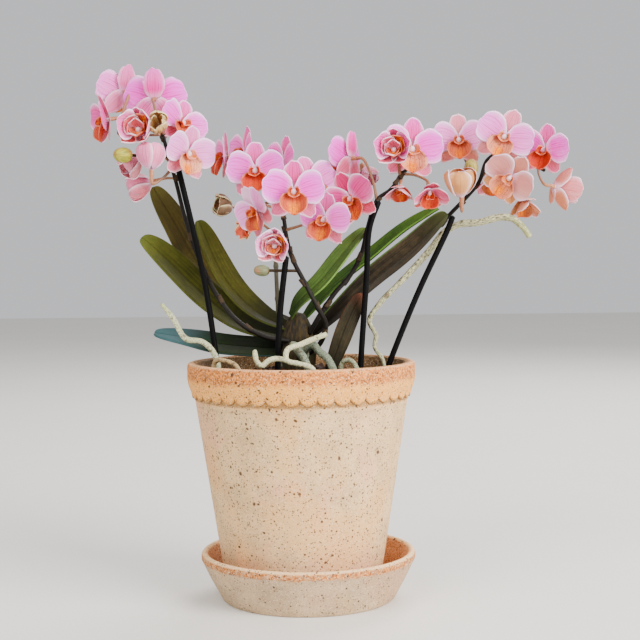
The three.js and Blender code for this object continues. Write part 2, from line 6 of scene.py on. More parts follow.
import bmesh
import bpy
from mathutils import Euler, Matrix, Vector, noise


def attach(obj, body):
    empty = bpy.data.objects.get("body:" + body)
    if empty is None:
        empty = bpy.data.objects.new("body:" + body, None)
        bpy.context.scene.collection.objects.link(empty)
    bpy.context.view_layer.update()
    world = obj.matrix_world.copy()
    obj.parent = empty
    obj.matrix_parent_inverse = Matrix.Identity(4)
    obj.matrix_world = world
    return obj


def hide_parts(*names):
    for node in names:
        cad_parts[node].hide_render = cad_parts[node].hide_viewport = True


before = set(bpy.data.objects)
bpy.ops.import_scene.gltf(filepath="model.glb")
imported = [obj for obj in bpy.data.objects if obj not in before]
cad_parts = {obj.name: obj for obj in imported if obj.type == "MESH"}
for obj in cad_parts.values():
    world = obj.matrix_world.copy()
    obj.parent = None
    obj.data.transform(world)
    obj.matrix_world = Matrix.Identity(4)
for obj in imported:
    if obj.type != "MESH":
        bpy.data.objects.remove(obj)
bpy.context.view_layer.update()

# Studio
# A plain pale floor and three soft lamps. The camera looks a little down on the pot from the front,
# and none of this belongs to the plant.
MM = 0.001
CAMERA_AT = Vector((8.57, -829.88, 209.745)) * MM
CAMERA_DOWN = 0.0467
CAMERA_LEAN = 0.01
CAMERA_LENS = 75.94
LAMPS_AIM = Vector((0, 0, 170)) * MM
DAYLIGHT = (1.0, 0.985, 0.96)


def tone(colour):
    """A colour as the eye sees it, 0 to 255 a channel, as a shader socket wants it."""
    parts = [channel / 255 for channel in colour]
    return [((part + 0.055) / 1.055) ** 2.4 if part > 0.04 else part / 12.92 for part in parts] + [1.0]


def shaded(colour, share, more=0):
    """A lighter or darker tone of a colour."""
    return tuple(channel * share + more for channel in colour)


class Finish:
    """A procedural finish: one shader, and the nodes that shape its colour, gloss and relief."""

    def __init__(self, name, shine=0.5, soft=0.0, soft_reach=2.0):
        """shine is the shader's specular level, and soft the share of light that goes into the piece."""
        self.material = bpy.data.materials.new(name)
        self.material.use_nodes = True
        self.tree = self.material.node_tree
        self.sockets = self.tree.nodes["Principled BSDF"].inputs
        self.sockets["Specular IOR Level"].default_value = shine
        self.sockets["Subsurface Weight"].default_value = soft
        self.sockets["Subsurface Scale"].default_value = soft_reach * MM
        coordinates = self.node("TexCoord")
        self.spot = coordinates.outputs["Object"]
        self.face = coordinates.outputs["UV"]

    def node(self, kind, values=None, **settings):
        added = self.tree.nodes.new("ShaderNode" + kind)
        for setting, value in settings.items():
            setattr(added, setting, value)
        for socket, value in (values or {}).items():
            if isinstance(value, bpy.types.NodeSocket):
                self.tree.links.new(value, added.inputs[socket])
            else:
                added.inputs[socket].default_value = value
        return added

    def stretched(self, where, sizes, turn=(0, 0, 0)):
        values = {"Vector": where, "Scale": sizes, "Rotation": turn}
        return self.node("Mapping", values).outputs[0]

    def cloud(self, scale, detail=3.0, rough=0.55, bend=0.0, where=None):
        """A soft noise over the piece itself, or over other coordinates."""
        values = {"Vector": where or self.spot, "Scale": scale, "Detail": detail, "Roughness": rough,
                  "Distortion": bend}
        return self.node("TexNoise", values).outputs["Fac"]

    def streaks(self, across, along, scale, detail, rough=0.55, bend=0.0):
        """A cloud drawn out along the piece's own length."""
        return self.cloud(scale, detail, rough, bend, self.stretched(self.face, (across, along, 1)))

    def cells(self, where, scale):
        made = self.node("TexVoronoi", {"Vector": where, "Scale": scale})
        return made.outputs["Distance"], made.outputs["Color"]

    def step(self, value, low, high, out_low=0.0, out_high=1.0):
        """value taken from the range low..high to out_low..out_high, with soft ends."""
        values = {0: value, 1: low, 2: high, 3: out_low, 4: out_high}
        return self.node("MapRange", values, interpolation_type="SMOOTHSTEP").outputs[0]

    def blotches(self, scale, detail, low, high, out_low=0.0, out_high=1.0, rough=0.55):
        return self.step(self.cloud(scale, detail, rough), low, high, out_low, out_high)

    def sum(self, operation, first, second=0.0):
        return self.node("Math", {0: first, 1: second}, operation=operation).outputs[0]

    def times(self, first, second):
        return self.sum("MULTIPLY", first, second)

    def part(self, where, axis):
        return self.node("SeparateXYZ", {"Vector": where}).outputs[axis]

    def along(self):
        """How far along its piece a point lies, from 0 to 1."""
        return self.part(self.face, 1)

    def aside(self):
        """How far a point lies from the middle line of its piece, up to 0.5 at the edges."""
        return self.sum("ABSOLUTE", self.sum("SUBTRACT", self.part(self.face, 0), 0.5))

    def mark(self, name):
        """A number that each point of the mesh carries."""
        return self.node("Attribute", attribute_name=name).outputs["Fac"]

    def blend(self, share, first, second, kind="MIX"):
        """Two colours mixed, each another node's or red, green and blue from 0 to 255."""
        first, second = [tone(colour) if isinstance(colour, tuple) else colour for colour in (first, second)]
        made = self.node("Mix", {0: share, 6: first, 7: second}, data_type="RGBA", blend_type=kind)
        return made.outputs[2]

    def laid(self, body, *coats):
        """Lays coats over a body in turn, each a share and a colour."""
        for share, colour in coats:
            body = self.blend(share, body, colour)
        return body

    def coated(self, colour, grain, smooth, rough, depth, height=None, strength=1.0):
        """Links the shader: its colour, a grain that roughens it, and a relief so many millimetres deep."""
        self.tree.links.new(colour, self.sockets["Base Color"])
        self.tree.links.new(self.step(grain, 0.3, 0.7, smooth, rough), self.sockets["Roughness"])
        values = {"Height": height or grain, "Distance": depth * MM, "Strength": strength}
        self.tree.links.new(self.node("Bump", values).outputs[0], self.sockets["Normal"])

    def grained(self, grain, ends, tones, coats, gloss, depth, height=None, strength=1.0):
        """A body that its grain takes from the first tone to the second, with coats laid over it."""
        body = self.laid(self.blend(self.step(grain, *ends), *tones), *coats)
        self.coated(body, grain, *gloss, depth, height, strength)


def placed(name, data):
    """A new object of the scene, at the origin."""
    made = bpy.data.objects.new(name, data)
    bpy.context.scene.collection.objects.link(made)
    return made


def finished(name, shape, finishes):
    """The object of a finished shape, with its place in its mesh."""
    mesh = bpy.data.meshes.new(name)
    shape.to_mesh(mesh)
    shape.free()
    for face in mesh.polygons:
        face.use_smooth = True
    for finish in finishes:
        mesh.materials.append(finish.material)
    return placed(name, mesh)


paint = Finish("floor_paint")
cloud = paint.cloud(6.0, 4.0)
paint.coated(paint.blend(cloud, (222, 219, 213), (230, 227, 221)), cloud, 0.75, 0.75, 0.2, paint.cloud(300.0))
floor_shape = bmesh.new()
bmesh.ops.create_grid(floor_shape, x_segments=8, y_segments=8, size=4.0)
finished("floor", floor_shape, [paint])


def lamp(name, place, size, power, warmth):
    light = bpy.data.lights.new(name, "AREA")
    light.size = size
    light.energy = power
    light.color = warmth
    turn = (LAMPS_AIM - Vector(place)).to_track_quat("-Z", "Y")
    placed(name, light).matrix_world = Matrix.Translation(place) @ turn.to_matrix().to_4x4()


lamp("window_lamp", (-0.9, -1.3, 1.35), 1.2, 30, DAYLIGHT)
lamp("fill_lamp", (1.3, -1.1, 0.9), 1.2, 82, DAYLIGHT)
lamp("back_lamp", (0.5, 1.2, 1.3), 1.0, 26, (1.0, 1.0, 1.0))
world = bpy.data.worlds.new("studio")
world.use_nodes = True
sky = world.node_tree.nodes["Background"].inputs
sky["Color"].default_value = tone((232, 233, 236))
sky["Strength"].default_value = 0.85
bpy.context.scene.world = world

camera_lens = bpy.data.cameras.new("camera")
camera_lens.lens = CAMERA_LENS
camera_lens.clip_start = 0.01
camera = placed("camera", camera_lens)
camera.matrix_world = (Matrix.Translation(CAMERA_AT)
                       @ Matrix.Rotation(pi / 2 - CAMERA_DOWN, 4, "X")
                       @ Matrix.Rotation(-CAMERA_LEAN, 4, "Z"))
bpy.context.scene.camera = camera

# Saucer
# A turned dish of unglazed clay under a pale lime wash. The wash is wiped off below the lip, where
# the clay shows as a brown line, and the inside is bare clay.
SAUCER_TOP = 29.3
SAUCER_RADIUS = 66.1
SAUCER_LIP = 4.2
SAUCER_BASE_RADIUS = 53.8
SAUCER_WALL = ((57.0, 7.0), (60.4, 13.2), (63.2, 19.0))
SAUCER_WALL_MIDDLE = 54.3
SAUCER_WALL_SLOPE = 0.475
SAUCER_FLOOR = 5.0
SAUCER_FLOOR_RADIUS = 51.6
SHARP_TURN = 0.45
TURN_STEPS = 168


def outward(shape):
    """Turns the faces of a closed shape to its outside."""
    bmesh.ops.recalc_face_normals(shape, faces=shape.faces)
    return shape


def welded(shape, distance, points=None):
    bmesh.ops.remove_doubles(shape, verts=points or shape.verts, dist=distance * MM)


def spun(outline, steps):
    """A turned clay shape: points of radius and height in millimetres, spun once round the axis."""
    shape = bmesh.new()
    points = [shape.verts.new((radius * MM, 0, height * MM)) for radius, height in outline]
    edges = [shape.edges.new(pair) for pair in zip(points, points[1:])]
    bmesh.ops.spin(shape, geom=points + edges, cent=(0, 0, 0), axis=(0, 0, 1), dvec=(0, 0, 0),
                   angle=2 * pi, steps=steps, use_merge=True, use_duplicate=False)
    welded(shape, 0.001)
    return outward(shape)


def bevelled(shape, edges, offset, segments):
    bmesh.ops.bevel(shape, geom=edges, offset=offset * MM, segments=segments, profile=0.5, affect="EDGES",
                    material=-1, offset_type="OFFSET")


def eased(shape, offset, segments):
    """Rounds every edge of a turned shape that is sharper than its curves."""
    sharp = [edge for edge in shape.edges if edge.is_manifold and edge.calc_face_angle() > SHARP_TURN]
    bevelled(shape, sharp, offset, segments)


def moved(shape, x):
    bmesh.ops.translate(shape, verts=shape.verts, vec=(x * MM, 0, 0))


def dressed(name, shape, finishes, node):
    """A finished piece of the plant. It rides on the one body, and stands for a node or for part of it."""
    made = finished(name, shape, finishes)
    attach(made, "root")
    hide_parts(node)
    return made


class Clay(Finish):
    """Unglazed clay under a pale lime wash, with blotches, fine sand and open pits."""

    def __init__(self, name, wash, blush, sun):
        super().__init__(name, 0.25)
        warm = self.stretched(self.spot, (1, 1, 0.8), (0.4, 0.2, 0.9))
        self.wash = self.laid(
            self.blend(self.blotches(60, 5, 0.35, 0.65, rough=0.65), wash, shaded(wash, 1.12)),
            (self.blotches(26, 3, 0.5, 0.64, 0, 0.7), blush),
            (self.step(self.cloud(24, 2, where=warm), 0.52, 0.7, 0, 0.65), sun))
        self.grain = self.cloud(1100, 4, 0.7)
        self.height = self.part(self.spot, 2)

    def recolour_or_paint_light(self, share, colour):
        """The wash gives way to another colour where share is 1. It lays bare clay, other tones of wash, and
        painted highlights and shadows.
        """
        self.wash = self.blend(share, self.wash, colour)

    def bare(self, share, low, high):
        """Bare clay where share is 1, freckled between two colours."""
        clay = self.blend(self.blotches(700, 3, 0.35, 0.65, rough=0.7), low, high)
        self.recolour_or_paint_light(share, self.blend(self.blotches(460, 2, 0.58, 0.68, 0, 0.55), clay, shaded(low, 0.7)))

    def pitted(self, rare=0.0):
        """Sand freckles and open pits over all, as colour and relief, and the shader's links."""
        colour = self.laid(self.wash, (self.step(self.grain, 0.53, 0.66, 0, 0.6), (128, 86, 54)),
                           (self.blotches(1300, 2, 0.56, 0.68, 0, 0.45), (246, 232, 200)))
        height = self.times(self.grain, 0.3)
        for scale, width, kept, depth in ((640, 0.34, 0.5, 0.4), (330, 0.26, 0.55, 0.6),
                                          (165, 0.17, 0.45, 1.0), (84, 0.12, 0.55, 1.6)):
            shift = self.node("TexNoise", {"Vector": self.spot, "Scale": scale * 1.7}).outputs["Color"]
            where = self.node("VectorMath", {0: shift, 1: (0.35 / scale,) * 3, 2: self.spot},
                              operation="MULTIPLY_ADD").outputs[0]
            distance, chance = self.cells(where, scale)
            some = self.step(self.part(chance, 0), kept + rare, kept + rare + 0.04)
            pit = self.times(self.step(distance, width * 0.5, width, 1, 0), some)
            colour = self.blend(self.times(pit, 0.9), colour, (64, 42, 28))
            height = self.sum("SUBTRACT", height, self.times(pit, depth))
        self.coated(colour, self.grain, 0.82, 0.97, 0.35, height, 0.9)


saucer_inner = SAUCER_RADIUS - SAUCER_LIP
saucer_shape = spun([
    (0, 0), (SAUCER_BASE_RADIUS - 1, 0), (SAUCER_BASE_RADIUS, 1), *SAUCER_WALL,
    (SAUCER_RADIUS - 0.6, SAUCER_TOP - 5.4), (SAUCER_RADIUS, SAUCER_TOP - 4.6),
    (SAUCER_RADIUS, SAUCER_TOP - 1.6), (SAUCER_RADIUS - 1.3, SAUCER_TOP), (saucer_inner + 1.2, SAUCER_TOP),
    (saucer_inner, SAUCER_TOP - 1.4), (SAUCER_FLOOR_RADIUS + 5, 16), (SAUCER_FLOOR_RADIUS, SAUCER_FLOOR + 2),
    (SAUCER_FLOOR_RADIUS - 1.4, SAUCER_FLOOR), (0, SAUCER_FLOOR),
], TURN_STEPS)
eased(saucer_shape, 0.7, 3)
bare = saucer_shape.verts.layers.float.new("bare")
for point in saucer_shape.verts:
    height = point.co.z / MM
    middle = SAUCER_WALL_MIDDLE + SAUCER_WALL_SLOPE * (height - 7)
    reach = hypot(point.co.x, point.co.y) / MM
    point[bare] = 1 if reach < middle and SAUCER_FLOOR - 1 < height < SAUCER_TOP - 0.8 else 0

clay = Clay("saucer_wash", (180, 154, 122), (186, 146, 116), (188, 156, 110))
line = clay.sum("ADD", clay.height, clay.times(clay.cloud(160, 4, 0.7), 0.0032))
below_lip = clay.times(clay.step(line, 0.0252, 0.0268), clay.step(line, 0.0294, 0.0304, 1, 0))
clay.bare(clay.times(below_lip, clay.blotches(380, 3, 0.36, 0.56, 0.45, 1)), (132, 68, 30), (226, 146, 70))
clay.bare(clay.mark("bare"), (176, 112, 68), (216, 148, 100))
# Painted highlight: the top of the lip is laid a paler cream.
clay.recolour_or_paint_light(clay.step(clay.height, 0.0276, 0.0285, 0, 0.7), (246, 200, 146))
clay.pitted(rare=0.2)
dressed("saucer_dish", saucer_shape, [clay], "saucer")

# Pot
# A turned flower pot of the same clay and wash, a little left of the saucer's middle. A rolled band
# runs round the rim, its lower edge cut in 42 scallops; the rim and the mouth are bare clay.
POT_X = -3.3
POT_BOTTOM = SAUCER_FLOOR + 0.3
POT_TOP = 145.7
POT_BASE_RADIUS = 47.2
POT_FLOOR = 7
POT_WALL = 5.6
DRAIN_RADIUS = 8
RIM_RADIUS = 70
RIM_MOUTH_RADIUS = 64
RIM_STRAIGHT = 10.8
BAND_BOTTOM = 124.3
BAND_BOTTOM_RADIUS = 66.6
WALL_TOP_RADIUS = 65.5
SCALLOPS = 42
SCALLOP_DEPTH = 3.4
SCALLOP_STEPS = 10


def wall_radius(height):
    slope = (WALL_TOP_RADIUS - POT_BASE_RADIUS) / (BAND_BOTTOM - POT_BOTTOM)
    return POT_BASE_RADIUS + slope * (height - POT_BOTTOM)


pot_floor = POT_BOTTOM + POT_FLOOR
pot_neck = BAND_BOTTOM - 6
pot_shape = spun([
    (DRAIN_RADIUS, POT_BOTTOM), (POT_BASE_RADIUS - 1, POT_BOTTOM),
    (wall_radius(POT_BOTTOM + 1.2), POT_BOTTOM + 1.2), (wall_radius(30), 30), (wall_radius(60), 60),
    (wall_radius(95), 95), (wall_radius(BAND_BOTTOM + 6), BAND_BOTTOM + 6),
    (RIM_RADIUS - 2.4, POT_TOP - RIM_STRAIGHT), (RIM_RADIUS - 2.4, POT_TOP - 0.6),
    (RIM_MOUTH_RADIUS, POT_TOP - 0.6),
    (wall_radius(pot_neck) - POT_WALL, pot_neck), (wall_radius(pot_floor) - POT_WALL, pot_floor),
    (DRAIN_RADIUS, pot_floor), (DRAIN_RADIUS, POT_BOTTOM),
], TURN_STEPS)
band_shape = spun([
    (RIM_MOUTH_RADIUS + 0.2, POT_TOP - 4), (RIM_MOUTH_RADIUS + 0.1, POT_TOP - 1.5),
    (RIM_MOUTH_RADIUS + 1.3, POT_TOP), (RIM_RADIUS - 1.6, POT_TOP), (RIM_RADIUS - 0.4, POT_TOP - 0.7),
    (RIM_RADIUS, POT_TOP - 2), (RIM_RADIUS, POT_TOP - RIM_STRAIGHT + 1), (RIM_RADIUS - 0.6, POT_TOP - 13),
    (68.7, POT_TOP - 15), (67.9, BAND_BOTTOM + 4.2), (67.4, BAND_BOTTOM + 2.2), (67.15, BAND_BOTTOM + 0.8),
    (66.75, BAND_BOTTOM + 0.15), (BAND_BOTTOM_RADIUS - 0.6, BAND_BOTTOM), (65.0, BAND_BOTTOM + 0.4),
    (64.6, POT_TOP - 8), (RIM_MOUTH_RADIUS + 0.2, POT_TOP - 4),
], SCALLOPS * SCALLOP_STEPS)
# Painted shade: the scallops' cut underside, and a little of their lower edge, are marked here to be
# darkened.
scallop_shade = band_shape.verts.layers.float.new("scallop_shade")
for point in band_shape.verts:
    turn = atan2(point.co.y, point.co.x) + pi / 2
    notch = 1 - abs(sin(turn * SCALLOPS / 2))
    cusp = 0.55 * notch + 0.45 * (1 - sqrt(1 - 0.98 * notch ** 2))
    low = max(0.0, min(1.0, 1 - (point.co.z / MM - BAND_BOTTOM - 0.2) / 6))
    point.co.z += SCALLOP_DEPTH * cusp * low * MM
    reach = hypot(point.co.x, point.co.y) / MM
    if reach > 66:
        pinch = 0.35 * notch ** 3 * low
        point.co.xy *= (reach - pinch) / reach
        reach -= pinch
    point[scallop_shade] = 1 if 64.9 < reach < 66.9 else 0.6 if 66.9 <= reach < 67.2 else 0
moved(pot_shape, POT_X)
moved(band_shape, POT_X)
eased(pot_shape, 0.5, 2)


def pot_clay(name):
    """The pot's clay: a yellower band, a freckled bare rim with a painted highlight along its top, and a bare
    mouth painted dark with shade.
    """
    made = Clay(name, (202, 166, 120), (226, 168, 130), (226, 172, 106))
    flat = made.node("VectorMath", {0: made.spot, 1: (1, 1, 0), 2: (-POT_X * MM, 0, 0)},
                     operation="MULTIPLY_ADD").outputs[0]
    from_axis = made.node("VectorMath", {0: flat}, operation="LENGTH").outputs["Value"]
    ragged_height = made.sum("ADD", made.height, made.times(made.cloud(110, 5, 0.7), 0.009))
    made.recolour_or_paint_light(made.step(made.height, 0.121, 0.126, 0, 0.85), (240, 162, 62))
    made.bare(made.times(made.step(ragged_height, 0.1386, 0.1428), 0.92), (150, 76, 28), (236, 146, 62))
    # Painted highlight: a paler line along the top of the rim.
    made.recolour_or_paint_light(made.step(made.height, 0.1442, 0.1456, 0, 0.5), (240, 190, 140))
    # Painted shade: the bare clay inside the mouth is made dark, down into the pot.
    in_mouth = made.times(made.step(from_axis, 0.0640, 0.0652, 1, 0), made.step(made.height, 0.119, 0.121))
    made.bare(in_mouth, (66, 38, 22), (120, 74, 44))
    return made


wall = pot_clay("pot_wash")
# Painted shadow: the wall is darkened just under the scallops and up into their notches.
wall.recolour_or_paint_light(wall.step(wall.height, 0.1224, 0.1240, 0, 0.7), (128, 98, 60))
wall.pitted()
band = pot_clay("band_wash")
# Painted shade along the scallops' underside and lower edge.
band.recolour_or_paint_light(band.times(band.mark("scallop_shade"), 0.85), (118, 82, 42))
band.pitted()
dressed("pot_wall", pot_shape, [wall], "pot")
dressed("pot_band", band_shape, [band], "pot")

# Bark mix
# The pot is filled with brown bark chips, which mound up a little towards the plant. Loose chips of
# torn bark lie flat or on edge over the top.
BARK_TOP = 133
BARK_MOUND = 7
BARK_RINGS = 34
FIT_GAP = 0.3
CHIPS = 420
CHIPS_RADIUS = 54.5


def bulge(x, middle, width):
    """A soft swelling, 1 at its middle."""
    return exp(-((x - middle) / width) ** 2)


def waver(x, y, z):
    return noise.noise(Vector((x, y, z)))


def bark_height(x, y):
    along = sin(x * 0.62 + 1.7 * sin(y * 0.31))
    across = sin(y * 0.57 + 1.3 * sin(x * 0.4))
    return BARK_TOP + BARK_MOUND * bulge(hypot(x, y), 0, 30) + 1.8 * along * across


neck_inside = wall_radius(pot_neck) - POT_WALL
top_inside = neck_inside + (RIM_MOUTH_RADIUS - neck_inside) * (BARK_TOP - pot_neck) / (POT_TOP - pot_neck)
bark_floor = pot_floor + FIT_GAP
outline = [(0, bark_floor), (wall_radius(bark_floor) - POT_WALL - 2 * FIT_GAP, bark_floor),
           (neck_inside - FIT_GAP, pot_neck), (top_inside - FIT_GAP, BARK_TOP - 1)]
outline += [((top_inside - FIT_GAP) * ring / BARK_RINGS, BARK_TOP + 1) for ring in range(BARK_RINGS, -1, -1)]
bark_shape = spun(outline, 120)
for point in bark_shape.verts:
    if point.co.z > (BARK_TOP + 0.5) * MM:
        x, y = point.co.x / MM, point.co.y / MM
        lumps = waver(x * 0.3, y * 0.3, 3.1) * 1.1 + waver(x, y, 8.0) * 0.4
        point.co.z = (bark_height(x, y) + lumps - 0.6) * MM
moved(bark_shape, POT_X)

bark = Finish("bark_chips", 0.2)
torn = bark.cloud(380, 5, 0.7, where=bark.stretched(bark.spot, (1, 3.5, 1), (0.4, 0.3, 0.8)))
chip_shade = bark.part(bark.cells(bark.spot, 150)[1], 1)
bark.grained(torn, (0.35, 0.7), ((24, 16, 11), (72, 46, 28)),
             [(bark.step(chip_shade, 0.6, 0.9, 0, 0.55), (98, 64, 38))], (0.7, 0.95), 0.8)
dressed("bark_fill", bark_shape, [bark], "bark_mix")

chance = random.Random(7)
chips_shape = bmesh.new()
for chip in range(CHIPS):
    reach = CHIPS_RADIUS * sqrt(chance.random())
    turn = chance.uniform(0, 2 * pi)
    x, y = reach * cos(turn), reach * sin(turn)
    size = Vector((chance.uniform(5, 11), chance.uniform(3.5, 7), chance.uniform(1.4, 3.2))) * MM
    lie = Euler((chance.gauss(0, 0.35), chance.gauss(0, 0.35), chance.uniform(0, 6.3))).to_matrix().to_4x4()
    z = bark_height(x, y) + chance.uniform(-0.8, 1.2)
    spot = Matrix.Translation(((x + POT_X) * MM, y * MM, z * MM))
    made = bmesh.ops.create_cube(chips_shape, size=1.0, matrix=spot @ lie @ Matrix.Diagonal((*size, 1)))
    for point in made["verts"]:
        point.co += Vector([chance.uniform(-0.7, 0.7) * MM for axis in range(3)])
    edges = {edge for point in made["verts"] for edge in point.link_edges}
    bevelled(chips_shape, list(edges), 0.5, 1)
bark_chips = dressed("bark_loose_chips", chips_shape, [bark], "bark_mix")
for face in bark_chips.data.polygons:
    face.use_smooth = False

# Stakes
# Four thin black sticks, slightly bent by the weight they hold, pushed deep into the bark. Each has a
# satin skin with faint lengthwise drawing marks and a rounded top.
STAKE_RADIUS = 1.8
PATH_STEPS = 200


class Path:
    """A smooth line through points in millimetres, measured along its length from 0 to 1."""

    def __init__(self, points):
        knots = [Vector(point) for point in points]
        self.knots = [2 * knots[0] - knots[1], *knots, 2 * knots[-1] - knots[-2]]
        marks = [self.raw(step / PATH_STEPS) for step in range(PATH_STEPS + 1)]
        self.lengths = [0.0]
        for here, ahead in zip(marks, marks[1:]):
            self.lengths.append(self.lengths[-1] + (ahead - here).length)
        self.length = self.lengths[-1]

    def raw(self, share):
        stretch = share * (len(self.knots) - 3)
        first = min(int(stretch), len(self.knots) - 4)
        t = stretch - first
        a, b, c, d = self.knots[first:first + 4]
        gaps = [max((y - x).length, 1e-4) ** 0.5 for x, y in ((a, b), (b, c), (c, d))]
        start = ((b - a) / gaps[0] - (c - a) / (gaps[0] + gaps[1]) + (c - b) / gaps[1]) * gaps[1]
        end = ((c - b) / gaps[1] - (d - b) / (gaps[1] + gaps[2]) + (d - c) / gaps[2]) * gaps[1]
        cubic = 2 * b - 2 * c + start + end
        square = -3 * b + 3 * c - 2 * start - end
        return ((cubic * t + square) * t + start) * t + b

    def at(self, share):
        wanted = max(0.0, min(1.0, share)) * self.length
        low, high = 0, PATH_STEPS
        while high - low > 1:
            middle = (low + high) // 2
            low, high = (middle, high) if self.lengths[middle] <= wanted else (low, middle)
        part = (wanted - self.lengths[low]) / max(1e-9, self.lengths[high] - self.lengths[low])
        return self.raw((low + part) / PATH_STEPS)

    def ahead(self, share):
        low = max(0.0, min(share - 0.0005, 0.999))
        return (self.at(low + 0.001) - self.at(low)).normalized()


def rolled(shape, path, thick, sides, steps, share=(0, 1)):
    """Adds a round stem along a path: a grid rolled up, its seam closed and both its ends domed."""
    across = path.ahead(0).orthogonal().normalized()
    rings = []
    for row in range(steps + 5):
        inner = min(max(row - 2, 0), steps)
        along = share[0] + (share[1] - share[0]) * inner / steps
        end = min(row, steps + 4 - row)
        size = thick((along - share[0]) / (share[1] - share[0])) * (0, 0.75, 1)[min(end, 2)]
        heading = path.ahead(along)
        across = (across - heading * across.dot(heading)).normalized()
        sink = thick(0 if row < steps else 1) * (1, 0.34, 0)[min(end, 2)] * (-1 if row < steps else 1)
        rings.append((path.at(along) + heading * sink * 0.6, across.copy(), heading.cross(across), size))
    return wrapped(shape, sides, rings)


def wrapped(shape, sides, rings):
    """A closed skin over rings, each a middle, two directions across and a radius."""
    reel = shape.loops.layers.uv.verify()
    made = bmesh.ops.create_grid(shape, x_segments=sides, y_segments=len(rings) - 1, size=0.5, calc_uvs=True)
    for point in made["verts"]:
        middle, one, other, size = rings[round((point.co.y + 0.5) * (len(rings) - 1))]
        turn = (point.co.x + 0.5) * 2 * pi
        point.co = (middle + one * cos(turn) * size + other * sin(turn) * size) * MM
    faces = {face for point in made["verts"] for face in point.link_faces}
    for face in faces:
        for corner in face.loops:
            corner[reel].uv.x = (1 - cos(corner[reel].uv.x * 2 * pi)) / 2
    welded(shape, 0.0005, made["verts"])
    return [face for face in faces if face.is_valid]


STAKES = {
    "stake_a": [(-49, -4, 85), (-55, -4, 146), (-61, -5, 191), (-68, -6, 226), (-77, -6, 266)],
    "stake_b": [(-18, -26, 82), (-17, -26, 144), (-15, -27, 178), (-11, -28, 211)],
    "stake_c": [(30, -9, 84), (33, -10, 143), (37, -12, 197), (39, -13, 227), (45, -14, 244)],
    "stake_d": [(30, 5, 86), (51, 4, 143), (70, 2, 189), (88, 0, 227), (91, 0, 235)],
}
black = Finish("stake_black", 0.08)
black.grained(black.streaks(14, 1.2, 3, 4), (0.35, 0.7), ((2, 2, 2), (8, 7, 8)), (), (0.42, 0.62), 0.15,
              strength=0.6)
for node, points in STAKES.items():
    shape = bmesh.new()
    rolled(shape, Path(points), lambda u: STAKE_RADIUS, 16, 48, (0.01, 0.99))
    dressed(node + "_stick", outward(shape), [black], node)

# Dry spike
# The cut-off stump of an old flower stem, dried to straw behind the second stake. It keeps its swollen
# joints, and its cut top is rounded off.
SPIKE_RADIUS = 1.4
SPIKE_JOINTS = (0.45, 0.72, 0.93)
SPIKE_SWELLS = 0.45
straw = Finish("dry_straw", 0.25)
straw.grained(straw.streaks(22, 2, 4, 5, 0.7), (0.3, 0.7), ((58, 56, 46), (108, 104, 84)),
              [(straw.blotches(70, 3, 0.55, 0.75, 0, 0.6), (52, 42, 30))], (0.65, 0.9), 0.3)
spike_shape = bmesh.new()
spike_path = Path([(-17, 51, 110), (-18, 51, 150), (-19, 50, 180), (-20, 50, 211)])
rolled(spike_shape, spike_path,
       lambda u: SPIKE_RADIUS + SPIKE_SWELLS * sum(bulge(u, joint, 0.012) for joint in SPIKE_JOINTS), 14, 90)
dressed("dry_spike_stump", outward(spike_shape), [straw], "dry_spike")

# Roots
# Silvery aerial roots of the orchid, thick and a little lumpy, some reaching out over the rim and some
# looping down into the bark. Their dead outer layer flakes, and the growing tips are green.

# Each root: its routes, its radius at the foot and beyond, how green its tip is, its skin and shade.
ROOTS = {
    "root_left_air": ([[(-52, -12, 118), (-53, -11, 138), (-56, -12, 152), (-63, -12, 159), (-73, -12, 161),
        (-80, -14, 173), (-87, -14, 182)]], (2, 1.7), 0.7, (206, 208, 168), (122, 122, 92)),
    "root_left_soil": ([[(-55, -26, 122), (-54, -29, 148), (-48, -34, 149), (-40, -38, 145),
        (-36, -40, 122)]], (1.7, 1.3), 0, (196, 168, 120), (96, 74, 48)),
    "root_loop": ([[(12, -20, 163), (5, -26, 161), (-3, -31, 158), (-11, -35, 155), (-11, -38, 149),
        (-4, -39, 147), (4, -40, 144), (9, -40, 122)], [(-11, -38, 149), (-17, -36, 150), (-22, -37, 149),
        (-26, -38, 146), (-29, -38, 149), (-30, -38, 155)]], (1.7, 1.6), 0, (226, 224, 178),
        (140, 136, 102)),
    "root_thick": ([[(-1, -7, 148), (-1, -12, 152), (4, -18, 157), (8, -23, 153), (13, -28, 149),
        (17, -32, 140), (18, -33, 120)], [(-1, -7, 148), (-1, -12, 152), (-8, -19, 157), (-5, -24, 154),
        (-1, -28, 149), (2, -31, 140), (3, -32, 120)]], (2.4, 2.3), 0, (138, 148, 124), (58, 64, 50)),
    "root_right_soil": ([[(20, -24, 126), (22, -27, 147), (27, -30, 148), (31, -34, 141), (32, -35, 120)]],
        (1.5, 1.3), 0, (170, 174, 140), (82, 84, 62)),
    "root_right_long": ([[(49, -6, 122), (47, -5, 146), (42, -1, 154), (43, 0, 161), (39, 2, 170),
        (46, 5, 181), (61, 7, 196), (77, 8, 213), (86, 8, 224), (95, 6, 229), (107, 4, 230), (120, 2, 233),
        (127, 0, 232), (133, -2, 227), (137, -4, 221)]], (0.9, 2.2), 0.5, (196, 194, 152), (78, 74, 52)),
}
ROOT_TIP = 0.1
ROOT_TIP_NARROWS = 0.45


def root_finish(name, skin, shade, green):
    made = Finish(name, 0.3)
    flakes = made.streaks(5, 26, 3, 4, 0.65)
    made.grained(flakes, (0.38, 0.6), (shade, skin),
                 [(made.blotches(60, 3, 0.52, 0.72, 0, 0.35), (126, 132, 88)),
                  (made.blotches(330, 2, 0.6, 0.68, 0, 0.7), (84, 62, 38)),
                  (made.step(made.along(), 0.86, 0.97, 0, green), (168, 174, 108))],
                 (0.6, 0.9), 0.3, made.sum("ADD", flakes, made.cloud(500)))
    return made


